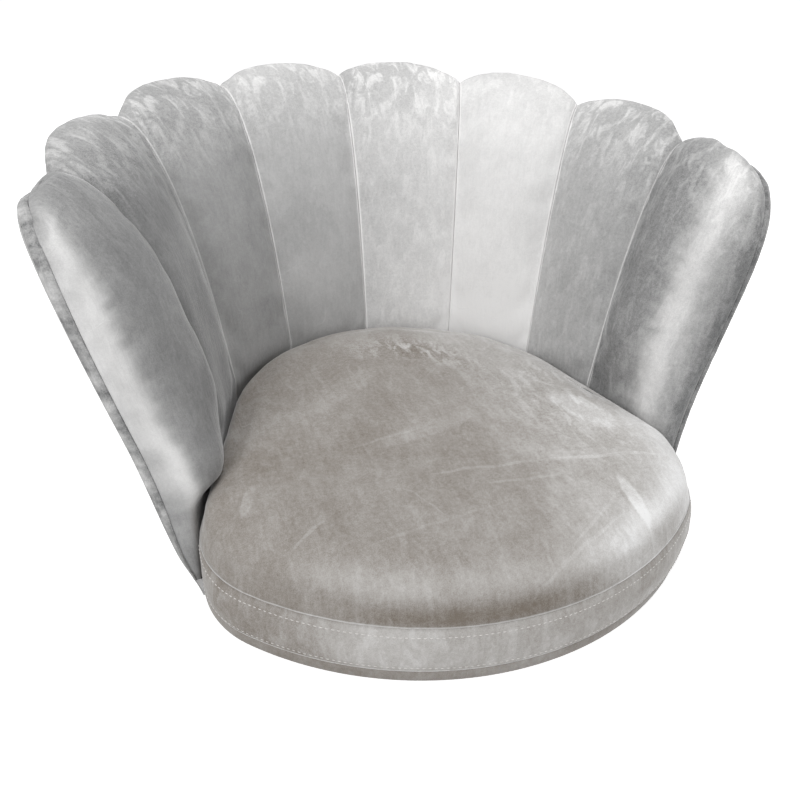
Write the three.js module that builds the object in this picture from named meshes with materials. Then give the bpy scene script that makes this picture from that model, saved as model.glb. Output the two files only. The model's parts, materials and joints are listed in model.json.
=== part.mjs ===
import * as THREE from 'three'

// Body of a scallop-backed tub chair, without its legs. Millimetres, +Z up.
// The origin lies on the underside, under the centre of the seat's round back. The chair faces -Y.

// Clearances
const gap = 0.3                    // between pieces that touch
const fabric = 1.5                 // velvet with its backing

// Plan of the body: a round back, straight sides, rounded corners and one long front curve
const backRadius = 312             // outside of the tub at the floor
const frontRadius = 390
const frontCentreY = 21
const cornerRadius = 131

// Base
const dustCoverThickness = 1
const dustCoverInset = 9           // back from the body's outline
const boardThickness = 15
const boardInset = 3               // the fabric wraps round the board's edge
const hemWidth = 24                // fabric turned under the board
const foldRadius = 0.7             // inside of the fold round the board's edge
const panelClearance = 0.6         // between the front strip's ends and the side panels
const legSpacingX = 330            // between the threaded inserts for the legs
const frontLegY = -205
const rearLegY = 125
const insertBore = 10.4
const insertBarrelRadius = 5
const insertThreadRadius = 3.4
const insertFlangeRadius = 11
const insertFlangeThickness = 1.6
const insertBarrelLength = 12
const dustCoverHoleRadius = 13

// Seat
const seatInset = 1                // the seat's seam, back from the body's outline
const backDepth = 51               // from the outside of the tub in to the seat
const seatBackRadius = backRadius - backDepth   // round back of the seat
const seamHeight = 76              // seam between the border and the top
const crownRise = 47               // from the seam up to the shoulder of the top
const crownRun = { side: 24, front: 62 }   // width of the top's rounded edge
const crownShares = [1, 0.4, 0.16, 0.05, 0]
const domeRise = 8                 // further rise to the middle
const domeShare = 0.75             // how much of it is reached half-way
const borderSwell = { side: 0, front: 6 }
const borderShares = [1, 0.75, 0.4, 0]
const swellPeakShare = 0.4         // of the border's height, where it stands out most
const waddingThickness = 10
const seatCentreY = -60            // where the seat's rings close in
const seatCentreInset = 300        // distance from the outline to that point
const frontStart = 120             // distance in front of the origin where the sides give way to the front
const frontFull = 250

// Inside of the tub: foot circle at the seat, rim circle at the top
const petalCount = 8
const footSetBack = 10             // the pads' seams stand this far behind the seat
const footRadius = seatBackRadius + footSetBack
const footHeight = 112
const footTuck = 1.5               // the pads lean back a little below the seat
const footStep = 29.9 * Math.PI / 180
const rimOverhang = 103            // of the rim circle, past the tub at the floor
const rimRadius = backRadius + rimOverhang
const rimCentreY = 50
const rimHeight = 479
const rimSideDrop = 48
const rimStep = 28.4 * Math.PI / 180
const innerCurveShares = [[0.117, 0.292], [0.464, 1.041]]   // of reach and rise

// Outside of the tub
const outerCurveShares = [[0.1, 0.36], [1.0, 0.74]]
const rimLap = 8                   // the pads' velvet turns down over the rim to its seam
const outerSwell = 7               // swell of each outside panel between its seams

// Front edge of each arm, on the chair's +X side: foot, two control points and shoulder. Each stands
// out from the tub at the floor by its first length, and the upper two lie below the rim's height.
const armFootOut = 2
const armLowOut = 54
const armHighOut = 106
const armTopOut = 121
const armFootY = -169
const armLowY = -70
const armHighY = -149
const armTopY = -74
const armLowRise = 18              // over the pads' foot
const armHighDrop = 111            // below the rim
const armTopDrop = 59
const armEdgeWidth = 15            // width of the boxing along the arm's front edge
const armFootWidth = 3.6           // where the arm tapers out beside the seat
const armFootShare = 0.3           // share of the edge over which it widens
const boxingStandOut = 2.8         // the boxing's face in front of the arm's edge
const boxingClearance = 1.2        // between the boxing and the outside panel
const boxingEndShare = 0.6         // of the last row of the pad, where the boxing ends
const boxingEndLift = 2.5          // it rises over the turned edge of the pad's velvet there

// Padding
const petalPuff = { low: 1, foot: 7, middle: 16, rim: 14 }
const armPuff = { middle: 44, rim: 24 }
const seatClearance = 1            // between the seat and the pads beside it
const armBlendShare = 0.28         // up the seam, where the pad has left the seat's shape
const foamBack = 14                // foam behind the seam line at the foot
const foamBackAtRim = 5
const foamBackAtArmEdge = 4
const foamEndShare = 0.84          // of its last row, where a pad's foam stops
const foamEndDrop = 1.2            // from the velvet, at the foam's end
const scallopRise = 16
const scallopReach = 19
const scallopFullness = 3.3        // the higher, the squarer the scallops
const armScallopRise = 8.5
const armScallopReach = 11
const pillowFullness = 2.4         // the same for a pad's cross-section
const closingFullness = 12         // and for how late it closes in at the rim
const footCrowding = 2.5           // how late a pad swells between the board and its foot

// Frame
const ribThickness = 18
const ribTopDrop = 44              // below the rim
const webbingThickness = 1.5
const webbingClearance = 1.2       // the pads bow between the ribs
const webbingRows = [3, 5, 7]      // rows of the pads that each band covers
const hoopRadius = 5
const hoopSetIn = 22               // centre of the hoop, in from the outside panels at the rib tops
const hoopArmDepth = 10            // centre of the hoop behind the outside of the arm
const hoopEndLift = 2.5            // its ends lean, so their middles stay clear of the board
// Shares across and up an arm that the hoop passes through, from its last rib to the board
const hoopRoute = [[0.3, 0.93], [0.55, 0.92], [0.74, 0.85], [0.82, 0.73], [0.82, 0.58], [0.77, 0.43],
  [0.64, 0.28], [0.42, 0.14], [0.25, 0.045]]

// Fineness
const petalColumns = 7
const petalRows = 9
const panelRows = 7
const outlineSteps = 12
const halvings = 40                // when a share is searched for
const padCrowding = 0.8            // of the columns towards a pad's seams
const rowCrowding = 0.5
const panelCrowding = 0.4
const hoopSteps = 4                // across each pad

const boardBottom = dustCoverThickness + fabric + 2 * gap
const boardTop = boardBottom + boardThickness
const hemBottom = dustCoverThickness + gap
const armFoot = new THREE.Vector3(backRadius + armFootOut, armFootY, hemBottom)
const armLow = new THREE.Vector3(backRadius + armLowOut, armLowY, footHeight + armLowRise)
const armHigh = new THREE.Vector3(backRadius + armHighOut, armHighY, rimHeight - armHighDrop)
const armTop = new THREE.Vector3(backRadius + armTopOut, armTopY, rimHeight - armTopDrop)
const skin = fabric + gap            // velvet and the clearance behind it

// Materials, one for each kind of stuff
const stuffs = {
  velvet: { color: 0xb4b1ac, roughness: 0.75 },
  seatVelvet: { color: 0xaaa39c, roughness: 0.75 },
  foam: { color: 0xe7dfb8, roughness: 0.95 },
  wadding: { color: 0xf3f2ee, roughness: 1 },
  plywood: { color: 0xc79f6b, roughness: 0.7 },
  lining: { color: 0x1d1d1f, roughness: 0.95 },
  zinc: { color: 0xa7abb0, roughness: 0.35, metalness: 1 },
  webbing: { color: 0x4b4238, roughness: 0.9 },
  steel: { color: 0x5c6066, roughness: 0.5, metalness: 1 },
}

const chair = new THREE.Group()
chair.name = 'chair'

function addMesh(name, geometry, stuff) {
  const mesh = new THREE.Mesh(geometry, new THREE.MeshStandardMaterial(stuffs[stuff]))
  mesh.name = name
  chair.add(mesh)
  return mesh
}

// Solids from grids and rings of points

function geometryFrom(points, faces) {
  const geometry = new THREE.BufferGeometry()
  const positions = points.flatMap((point) => [point.x, point.y, point.z])
  geometry.setAttribute('position', new THREE.Float32BufferAttribute(positions, 3))
  geometry.setIndex(faces.flat())
  geometry.computeVertexNormals()
  return geometry
}

// A closed sheet between two grids: faceAt(u, v) faces out and backAt(u, v) lies behind it.
// u runs to the right and v runs up for someone who looks at the face. The faces are split from
// lower left to upper right, or the other way when mirrored, so that both halves of the chair match.
function sheetSolid(faceAt, backAt, columns, rows, mirrorSplit = false) {
  const points = []
  const faces = []
  const width = columns.length
  const count = width * rows.length
  for (const at of [faceAt, backAt]) {
    for (const v of rows) {
      for (const u of columns) points.push(at(u, v))
    }
  }
  for (let row = 0; row + 1 < rows.length; row += 1) {
    for (let column = 0; column + 1 < width; column += 1) {
      const a = row * width + column
      const b = a + 1
      const c = a + width
      const d = c + 1
      const halves = mirrorSplit ? [[a, b, c], [b, d, c]] : [[a, b, d], [a, d, c]]
      for (const half of halves) faces.push(half, half.map((index) => count + index).reverse())
    }
  }
  const rim = []
  for (let column = 0; column + 1 < width; column += 1) rim.push(column)
  for (let row = 0; row + 1 < rows.length; row += 1) rim.push(row * width + width - 1)
  for (let column = width - 1; column > 0; column -= 1) rim.push((rows.length - 1) * width + column)
  for (let row = rows.length - 1; row > 0; row -= 1) rim.push(row * width)
  rim.forEach((a, index) => {
    const b = rim[(index + 1) % rim.length]
    faces.push([b, a, count + a], [b, count + a, count + b])
  })
  return geometryFrom(points, faces)
}

// How far a point of the seat's outline belongs to the front: not at all beside the tub
function frontShare(point) {
  return THREE.MathUtils.smoothstep(-point.y, frontStart, frontFull)
}

// A solid that goes round the seat's outline. Each { inset, z } of a section makes one ring, blended
// between the section at the sides and the one at the front. A section that starts and ends at the
// middle closes there, while any other closes on itself. Each four-sided face is split from its
// higher point to the lower one that follows.
function ringSolid(sideSection, frontSection) {
  const centre = new THREE.Vector2(0, seatCentreY)
  const points = []
  const faces = []
  const size = seatEdge.length
  const rings = sideSection.map((side, index) => {
    const first = points.length
    if (side.inset === seatCentreInset) {
      points.push(new THREE.Vector3(centre.x, centre.y, side.z))
      return [first]
    }
    for (const point of seatEdge) {
      const share = frontShare(point)
      const inset = THREE.MathUtils.lerp(side.inset, frontSection[index].inset, share)
      const moved = point.clone().lerp(centre, inset / seatCentreInset)
      const z = THREE.MathUtils.lerp(side.z, frontSection[index].z, share)
      points.push(new THREE.Vector3(moved.x, moved.y, z))
    }
    return Array.from({ length: size }, (_, step) => first + step)
  })
  const pairs = rings[0].length === 1 ? rings.length - 1 : rings.length
  for (let index = 0; index < pairs; index += 1) {
    const upper = rings[index]
    const lower = rings[(index + 1) % rings.length]
    for (let step = 0; step < size; step += 1) {
      const next = (step + 1) % size
      if (upper.length === 1) faces.push([upper[0], lower[step], lower[next]])
      else if (lower.length === 1) faces.push([lower[0], upper[next], upper[step]])
      else if (points[upper[0]].z < points[lower[0]].z) {
        faces.push([upper[step], lower[step], upper[next]], [upper[next], lower[step], lower[next]])
      } else {
        faces.push([upper[step], lower[step], lower[next]], [upper[step], lower[next], upper[next]])
      }
    }
  }
  return geometryFrom(points, faces)
}

// Plan outlines, each made of arcs that run on from one another, counter-clockwise seen from above

const right = 0
const back = Math.PI / 2
const front = -Math.PI / 2

function arcPoints(centre, radius, from, to, steps) {
  return Array.from({ length: steps }, (_, step) => {
    const angle = from + (to - from) * step / steps
    return new THREE.Vector2(Math.cos(angle), Math.sin(angle)).multiplyScalar(radius).add(centre)
  })
}

function lineSteps(from, to, steps) {
  return Array.from({ length: steps }, (_, step) => from.clone().lerp(to, step / steps))
}

function mirrored(points) {
  return points.map((point) => new THREE.Vector2(-point.x, point.y))
}

function closeOutline(half) {
  return [...half, ...mirrored(half.slice(1, -1)).reverse()]
}

const backCentre = new THREE.Vector2(0, 0)
const frontCentre = new THREE.Vector2(0, frontCentreY)
const cornerCentre = new THREE.Vector2(backRadius - cornerRadius, 0)
cornerCentre.y = frontCentreY - Math.sqrt((frontRadius - cornerRadius) ** 2 - cornerCentre.x ** 2)
const frontHalfAngle = Math.atan2(cornerCentre.x, frontCentreY - cornerCentre.y)

// Right half of the front curve, then the right corner up to the angle given
function frontAndCorner(inset, cornerEnd) {
  const join = front + frontHalfAngle
  return [
    ...arcPoints(frontCentre, frontRadius - inset, front, join, outlineSteps / 2),
    ...arcPoints(cornerCentre, cornerRadius - inset, join, cornerEnd, outlineSteps / 2),
  ]
}

function bodyOutline(inset) {
  return closeOutline([
    ...frontAndCorner(inset, right),
    new THREE.Vector2(backRadius - inset, cornerCentre.y),
    ...arcPoints(backCentre, backRadius - inset, right, back, outlineSteps),
    new THREE.Vector2(0, backRadius - inset),
  ])
}

// Seam between the seat's border and its top: the body's front, straight tapering sides, a round back
function seatOutline() {
  const corner = cornerRadius - seatInset
  const turn = Math.acos((seatBackRadius - corner) / cornerCentre.length())
  const side = Math.atan2(cornerCentre.y, cornerCentre.x) + turn
  const sideEnd = new THREE.Vector2(Math.cos(side), Math.sin(side)).multiplyScalar(corner).add(cornerCentre)
  const sideStart = new THREE.Vector2(Math.cos(side), Math.sin(side)).multiplyScalar(seatBackRadius)
  return closeOutline([
    ...frontAndCorner(seatInset, side),
    ...lineSteps(sideEnd, sideStart, outlineSteps / 3),
    ...arcPoints(backCentre, seatBackRadius, side, back, outlineSteps),
    new THREE.Vector2(0, seatBackRadius),
  ])
}

const seatEdge = seatOutline()

// Seam lines of the tub

function bezier(a, b, c, d, t) {
  const s = 1 - t
  return s * s * s * a + 3 * s * s * t * b + 3 * s * t * t * c + t * t * t * d
}

// A valley stands in an upright plane through its foot and its point on the rim
function valley(k) {
  const foot = new THREE.Vector2(Math.sin(k * footStep), Math.cos(k * footStep)).multiplyScalar(footRadius)
  const rim = new THREE.Vector2(Math.sin(k * rimStep), Math.cos(k * rimStep)).multiplyScalar(rimRadius)
  rim.y += rimCentreY
  const out = rim.clone().sub(foot)
  const reach = out.length()
  const top = rimHeight - rimSideDrop * (1 - Math.cos(k * rimStep))
  out.divideScalar(reach)
  // Distance along the plane from the foot to the outside of the round back
  const along = foot.dot(out)
  const base = Math.sqrt(along ** 2 - footRadius ** 2 + backRadius ** 2) - along
  // Tangent of the angle between the plane and the round back's own radius
  const skew = Math.abs(foot.cross(out)) / along
  return { foot, out, reach, top, base, skew }
}

// Inner seam in the valley's plane: distance out from the foot, and height
function innerSection(line, v) {
  const [low, high] = innerCurveShares
  if (v < 0) {
    return new THREE.Vector2(footTuck * -v, THREE.MathUtils.lerp(footHeight, boardTop + gap, -v))
  }
  return new THREE.Vector2(
    line.reach * bezier(0, low[0], high[0], 1, v),
    footHeight + (line.top - footHeight) * bezier(0, low[1], high[1], 1, v),
  )
}

function outerSection(line, w) {
  const [low, high] = outerCurveShares
  return new THREE.Vector2(
    line.base + (line.reach - line.base) * bezier(0, low[0], high[0], 1, w),
    hemBottom + (line.top - rimLap - gap - hemBottom) * bezier(0, low[1], high[1], 1, w),
  )
}

function inPlane(line, section) {
  return new THREE.Vector3(
    line.foot.x + line.out.x * section.x,
    line.foot.y + line.out.y * section.x,
    section.y,
  )
}

// Unit vector in the valley's plane, square to the section and on the side of the tub's inside
function acrossSection(line, sectionAt, share) {
  const step = sectionAt(line, Math.min(share + tiny, 1)).sub(sectionAt(line, Math.min(share, 1 - tiny)))
  step.normalize()
  return new THREE.Vector3(-step.y * line.out.x, -step.y * line.out.y, step.x)
}

// The arm's front edge, mirrored for the left arm
function armEdge(side, t) {
  return new THREE.Vector3(
    side * bezier(armFoot.x, armLow.x, armHigh.x, armTop.x, t),
    bezier(armFoot.y, armLow.y, armHigh.y, armTop.y, t),
    bezier(armFoot.z, armLow.z, armHigh.z, armTop.z, t),
  )
}

// Share of the arm's edge at which it reaches a height
function armShareAt(height) {
  let low = 0
  let high = 1
  for (let step = 0; step < halvings; step += 1) {
    const middle = (low + high) / 2
    if (armEdge(1, middle).z < height) low = middle
    else high = middle
  }
  return low
}

const tiny = 1e-3
const lastValley = petalCount / 2 - 1
const armIndex = petalCount / 2
const armAtBoard = armShareAt(boardTop + gap)
const armAtFoot = armShareAt(footHeight)

// The same height as share t of the arm's edge and as share v of the seams, and back
function armShare(v) {
  return v < 0 ? armAtFoot + (armAtFoot - armAtBoard) * v : armAtFoot + (1 - armAtFoot) * v
}

function seamShare(t) {
  const span = t < armAtFoot ? armAtFoot - armAtBoard : 1 - armAtFoot
  return Math.max((t - armAtFoot) / span, -1)
}

function armInward(side, t) {
  const line = valley(side * lastValley)
  const tangent = armEdge(side, Math.min(t + tiny, 1)).sub(armEdge(side, Math.min(t, 1 - tiny)))
  const across = inPlane(line, innerSection(line, seamShare(t))).sub(armEdge(side, t))
  return new THREE.Vector3().crossVectors(tangent, across).multiplyScalar(side).normalize()
}

function isValley(k) {
  return Math.abs(k) <= lastValley
}

// Direction into the tub, square to inner seam k
function inwardAt(k, v) {
  if (isValley(k)) return acrossSection(valley(k), innerSection, v)
  return armInward(Math.sign(k), armShare(v))
}

function innerSeam(k, v) {
  if (isValley(k)) return inPlane(valley(k), innerSection(valley(k), v))
  const side = Math.sign(k)
  const t = armShare(v)
  return armEdge(side, t).addScaledVector(armInward(side, t), armWidthAt(t))
}

function armWidthAt(t) {
  return THREE.MathUtils.lerp(armFootWidth, armEdgeWidth, smooth(0, armFootShare, t))
}

function outerInwardAt(k, w) {
  if (isValley(k)) return acrossSection(valley(k), outerSection, w)
  return armInward(Math.sign(k), w)
}

function outerSeam(k, w) {
  if (isValley(k)) return inPlane(valley(k), outerSection(valley(k), w))
  return armEdge(Math.sign(k), w)
}

// Surfaces between two seam lines

function smooth(from, to, value) {
  return THREE.MathUtils.smoothstep(value, from, to)
}

// An arch over the shares from 0 to 1: steep at both ends and flat in the middle
function rounded(u, fullness) {
  return Math.sqrt(Math.max(0, 1 - Math.abs(2 * u - 1) ** fullness))
}

function pillow(u) {
  return rounded(u, pillowFullness)
}

function isArm(k) {
  return k === -armIndex || k === armIndex - 1
}

function outwardOf(k) {
  const middle = (k + 0.5) * rimStep
  return new THREE.Vector3(Math.sin(middle), Math.cos(middle), 0)
}

// Height of a circle's arc over its chord, for one petal's step
function bow(radius, step) {
  return radius * (1 - Math.cos(step / 2))
}

function bowOut(k, u, low, share) {
  if (isArm(k)) return 0
  return THREE.MathUtils.lerp(low, bow(rimRadius, rimStep), Math.max(share, 0)) * 4 * u * (1 - u)
}

// Lift of the scalloped rim over the straight line from seam to seam
function scallop(k, u, share) {
  const lift = rounded(u, scallopFullness) * smooth(0.5, 1, share)
  const rise = isArm(k) ? armScallopRise : scallopRise
  const reach = isArm(k) ? armScallopReach : scallopReach
  return outwardOf(k).multiplyScalar(reach * lift).setZ(rise * lift)
}

function inwardBetween(k, u, v) {
  return inwardAt(k, v).lerp(inwardAt(k + 1, v), u).normalize()
}

function innerLayer(k, u, v, height) {
  return innerSeam(k, v).lerp(innerSeam(k + 1, v), u)
    .addScaledVector(outwardOf(k), bowOut(k, u, bow(footRadius, footStep), v))
    .add(scallop(k, u, v))
    .addScaledVector(inwardBetween(k, u, v), height)
}

// The same for the pads, which stand on the board
function padLayer(k, u, v, height) {
  const point = innerLayer(k, u, v, height)
  if (v === -1) point.z = boardTop + gap
  return point
}

function outerLayer(k, u, w, depth) {
  const inward = outerInwardAt(k, w).lerp(outerInwardAt(k + 1, w), u).normalize()
  const swell = outerSwell * pillow(u) * Math.sqrt(Math.sin(Math.PI * w))
  return outerSeam(k, w).lerp(outerSeam(k + 1, w), u)
    .addScaledVector(outwardOf(k), bowOut(k, u, bow(backRadius, footStep), w) + swell)
    .add(scallop(k, u, w))
    .addScaledVector(inward, depth)
}

// Distance from a point beside the seat to the seat's outline
function seatDistance(from, direction) {
  let nearest = Infinity
  seatEdge.forEach((start, index) => {
    const side = seatEdge[(index + 1) % seatEdge.length].clone().sub(start)
    const turn = direction.x * side.y - direction.y * side.x
    const share = ((start.x - from.x) * direction.y - (start.y - from.y) * direction.x) / turn
    const distance = ((start.x - from.x) * side.y - (start.y - from.y) * side.x) / turn
    if (share >= 0 && share <= 1 && distance > 0) nearest = Math.min(nearest, distance)
  })
  return nearest
}

// How far a pad swells past its seam lines
function puff(k, u, v) {
  const depth = isArm(k) ? armPuff : petalPuff
  const closing = Math.sqrt(1 - Math.max(v, 0) ** closingFullness)
  const upper = THREE.MathUtils.lerp(depth.middle, depth.rim, smooth(0.5, 1, v)) * pillow(u) * closing
  if (!isArm(k)) {
    if (v > 0) return THREE.MathUtils.lerp(depth.foot * pillow(u), upper, smooth(0, 0.5, v))
    return THREE.MathUtils.lerp(depth.low, depth.foot, smooth(-1, 0, v) ** footCrowding) * pillow(u)
  }
  // The foot of an arm's pad fills the wedge between the arm's front edge and the seat
  const low = Math.min(v, 0)
  const from = innerSeam(k, low).lerp(innerSeam(k + 1, low), u)
  const room = (seatDistance(from, inwardBetween(k, u, low)) - seatClearance) * rounded(u, closingFullness)
  return THREE.MathUtils.lerp(room, upper, smooth(0, armBlendShare, v))
}

// Depth of the foam behind the seam lines
function seamFoam(v) {
  return THREE.MathUtils.lerp(foamBack, foamBackAtRim, Math.max(v, 0) ** 3)
}

function foamDepth(k, u, v) {
  const atSeam = (index) => (isValley(index) ? seamFoam(v) : foamBackAtArmEdge * smooth(-1, 0.2, v))
  return THREE.MathUtils.lerp(atSeam(k), atSeam(k + 1), u)
}

// Shares from 0 to 1, closer together towards both ends
function shares(count, crowding) {
  return Array.from({ length: count + 1 }, (_, index) => {
    const even = index / count
    return THREE.MathUtils.lerp(even, 0.5 - 0.5 * Math.cos(Math.PI * even), crowding)
  })
}

function stretched(values, low, high) {
  return values.map((value) => THREE.MathUtils.lerp(low, high, value))
}

// Shares up a pad, from the board to the seat and on to the rim
const padRows = [-1, -0.5, ...shares(petalRows - 2, rowCrowding)]

// Shares across a pad or a panel, with half of the gap on each side of a seam
function columnsOf(k) {
  const edge = gap / 2 / innerSeam(k, 0).distanceTo(innerSeam(k + 1, 0))
  return stretched(shares(petalColumns, padCrowding), edge, 1 - edge)
}

// Level direction towards the tub's middle, the same for both neighbours of a seam
function levelInwardAt(k) {
  if (isValley(k)) return new THREE.Vector3(-valley(k).out.x, -valley(k).out.y, 0)
  return new THREE.Vector3(-Math.sign(k), 0, 0)
}

function levelInward(k, u) {
  return levelInwardAt(k).lerp(levelInwardAt(k + 1), u).normalize()
}

const petals = Array.from({ length: petalCount }, (_, index) => index - armIndex)

// Velvet of one pad: the last row turns down over the rim
function coverPoint(k, u, v, depth) {
  const point = padLayer(k, u, Math.min(v, 1), puff(k, u, Math.min(v, 1)) - depth)
  if (v >= 1) point.addScaledVector(levelInward(k, u), depth)
  if (v > 1) point.z -= rimLap - depth
  return point
}

// Foam of one pad, under the same faces as its velvet: it stops short of the rim, and an arm's foam
// stops a whole row lower
function foamRows(k) {
  return isArm(k) ? padRows.slice(0, -1) : padRows
}

function foamPoint(k, u, v, heightAt) {
  const [below, last] = foamRows(k).slice(-2)
  const point = padLayer(k, u, v, heightAt(v))
  if (v < last) return point
  if (v === 1) point.addScaledVector(levelInward(k, u), fabric)
  return padLayer(k, u, below, heightAt(below))
    .lerp(point, foamEndShare)
    .addScaledVector(inwardBetween(k, u, v), -foamEndDrop)
}

function addPetals() {
  for (const k of petals) {
    const number = k + armIndex + 1
    const columns = columnsOf(k)
    addMesh(`petal_cover_${number}`, sheetSolid(
      (u, v) => coverPoint(k, u, v, 0),
      (u, v) => coverPoint(k, u, v, fabric),
      columns, [...padRows, 2], k < 0,
    ), 'velvet')
    addMesh(`petal_foam_${number}`, sheetSolid(
      (u, v) => foamPoint(k, u, v, (row) => puff(k, u, row) - skin),
      (u, v) => foamPoint(k, u, v, (row) => -skin - foamDepth(k, u, row)),
      columns, foamRows(k), k < 0,
    ), 'foam')
  }
}

// Outside panels, each with a hem turned under the board
const panelRowShares = shares(panelRows - 1, panelCrowding)

function addOuterPanels() {
  for (const k of petals) {
    const hem = (u, v, depth) => {
      const turned = v < 0 ? hemWidth : depth
      return outerLayer(k, u, 0, 0).addScaledVector(levelInward(k, u), turned).setZ(hemBottom + depth)
    }
    const at = (u, v, depth) => (v > 0 ? outerLayer(k, u, v, depth) : hem(u, v, depth))
    addMesh(`outer_panel_${k + armIndex + 1}`, sheetSolid(
      (u, v) => at(1 - u, v, 0),
      (u, v) => at(1 - u, v, fabric),
      columnsOf(k), [-1, ...panelRowShares], k < 0,
    ), 'velvet')
  }
}

// Base

const legPlaces = [
  [-legSpacingX / 2, frontLegY],
  [legSpacingX / 2, frontLegY],
  [-legSpacingX / 2, rearLegY],
  [legSpacingX / 2, rearLegY],
].map(([x, y]) => new THREE.Vector2(x, y))

function plate(outline, holeRadius, thickness, bottom) {
  const shape = new THREE.Shape(outline)
  for (const place of legPlaces) {
    shape.holes.push(new THREE.Path(arcPoints(place, holeRadius, 0, 2 * Math.PI, outlineSteps)))
  }
  const geometry = new THREE.ExtrudeGeometry(shape, { depth: thickness, bevelEnabled: false })
  return geometry.translate(0, 0, bottom)
}

function addBase() {
  const board = plate(bodyOutline(boardInset), insertBore / 2, boardThickness, boardBottom)
  const cover = plate(bodyOutline(dustCoverInset), dustCoverHoleRadius, dustCoverThickness, 0)
  addMesh('base_board', board, 'plywood')
  addMesh('dust_cover', cover, 'lining')
  legPlaces.forEach((place, index) => {
    const top = boardBottom - gap
    const bottom = top - insertFlangeThickness
    const profile = [
      [insertThreadRadius, bottom],
      [insertFlangeRadius, bottom],
      [insertFlangeRadius, top],
      [insertBarrelRadius, top],
      [insertBarrelRadius, top + insertBarrelLength],
      [insertThreadRadius, top + insertBarrelLength],
      [insertThreadRadius, bottom],
    ].map(([radius, height]) => new THREE.Vector2(radius, height))
    const geometry = new THREE.LatheGeometry(profile, outlineSteps).rotateX(Math.PI / 2)
    addMesh(`leg_insert_${index + 1}`, geometry.translate(place.x, place.y, 0), 'zinc')
  })
}

// Seat

const seam = seamHeight + gap / 2
const seatFloor = boardTop + gap
const waddingInside = skin + waddingThickness

// Points of the top's section from the middle out to the seam
function crownSection(end) {
  const shoulder = crownShares.map((share) => ({
    inset: crownRun[end] * share,
    z: seam + crownRise * (1 - (1 - share) ** 3) ** (1 / 3),
  }))
  const halfway = { inset: (seatCentreInset + crownRun[end]) / 2, z: seam + crownRise + domeRise * domeShare }
  return [{ inset: seatCentreInset, z: seam + crownRise + domeRise }, halfway, ...shoulder]
}

// The same section, moved in by a depth and ended upright above the seam
function sunkCrown(end, depth) {
  const section = crownSection(end)
  const sunk = section.map((point, index) => {
    if (index === 0) return { inset: point.inset, z: point.z - depth }
    const before = section[index - 1]
    const after = section[Math.min(index + 1, section.length - 1)]
    const step = new THREE.Vector2(after.inset - before.inset, after.z - before.z).normalize()
    return { inset: point.inset - step.y * depth, z: point.z + step.x * depth }
  })
  return [...sunk.slice(0, -1), { inset: depth, z: seam }]
}

// Border below the seam, from its top down to the board
function borderSection(end, inset) {
  return borderShares.map((share) => {
    const fall = (share - swellPeakShare) / (1 - swellPeakShare)
    return {
      inset: inset - borderSwell[end] * (1 - fall ** 2),
      z: THREE.MathUtils.lerp(seatFloor, seamHeight - gap / 2, share),
    }
  })
}

function addSeat() {
  const add = (name, sectionOf, stuff) => {
    addMesh(name, ringSolid(sectionOf('side'), sectionOf('front')), stuff)
  }
  add('seat_band', (end) => [
    ...borderSection(end, 0),
    ...borderSection(end, fabric).reverse(),
  ], 'seatVelvet')
  add('seat_cover', (end) => [
    ...crownSection(end),
    ...sunkCrown(end, fabric).reverse(),
  ], 'seatVelvet')
  add('seat_wadding', (end) => [
    ...sunkCrown(end, skin),
    ...borderSection(end, skin).slice(1),
    { inset: waddingInside, z: seatFloor },
    ...sunkCrown(end, waddingInside).reverse(),
  ], 'wadding')
  add('seat_foam', (end) => [
    ...sunkCrown(end, waddingInside + gap),
    { inset: waddingInside + gap, z: seatFloor },
    { inset: seatCentreInset, z: seatFloor },
  ], 'foam')
}

// Strip of velvet round the board's front edge, turned under it like the panels' hems
function addFrontStrip() {
  const end = armFoot.y - panelClearance
  const turn = Math.asin(Math.min((end - cornerCentre.y) / cornerRadius, 0))
  const [corner] = arcPoints(cornerCentre, cornerRadius, turn, turn, 1)
  const half = [...frontAndCorner(0, turn), corner]
  if (corner.y < end) half.push(new THREE.Vector2(backRadius, end))
  const path = [...mirrored(half).reverse().slice(0, -1), ...half]
  const at = (index, inset, z) => {
    if (index === 0 || index === path.length - 1) {
      return new THREE.Vector3(path[index].x - Math.sign(path[index].x) * inset, path[index].y, z)
    }
    const along = path[index + 1].clone().sub(path[index - 1]).normalize()
    return new THREE.Vector3(path[index].x - along.y * inset, path[index].y + along.x * inset, z)
  }
  const columns = path.map((_, index) => index)
  const rows = [0, 1, 2, 3]
  const face = [[hemWidth, hemBottom], [fabric, hemBottom], [0, hemBottom + fabric], [0, boardTop]]
  const inner = [
    [hemWidth, hemBottom + fabric],
    [fabric + foldRadius, hemBottom + fabric],
    [fabric, hemBottom + fabric + foldRadius],
    [fabric, boardTop],
  ]
  addMesh('front_strip', sheetSolid(
    (column, row) => at(column, ...face[row]),
    (column, row) => at(column, ...inner[row]),
    columns, rows,
  ), 'seatVelvet')
}

// Frame

const ribTurn = ribThickness / 2 * Math.tan(footStep / 2)
const ribFront = skin + webbingClearance + webbingThickness + gap + ribTurn
const valleys = Array.from({ length: petalCount - 1 }, (_, index) => index - lastValley)

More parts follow.
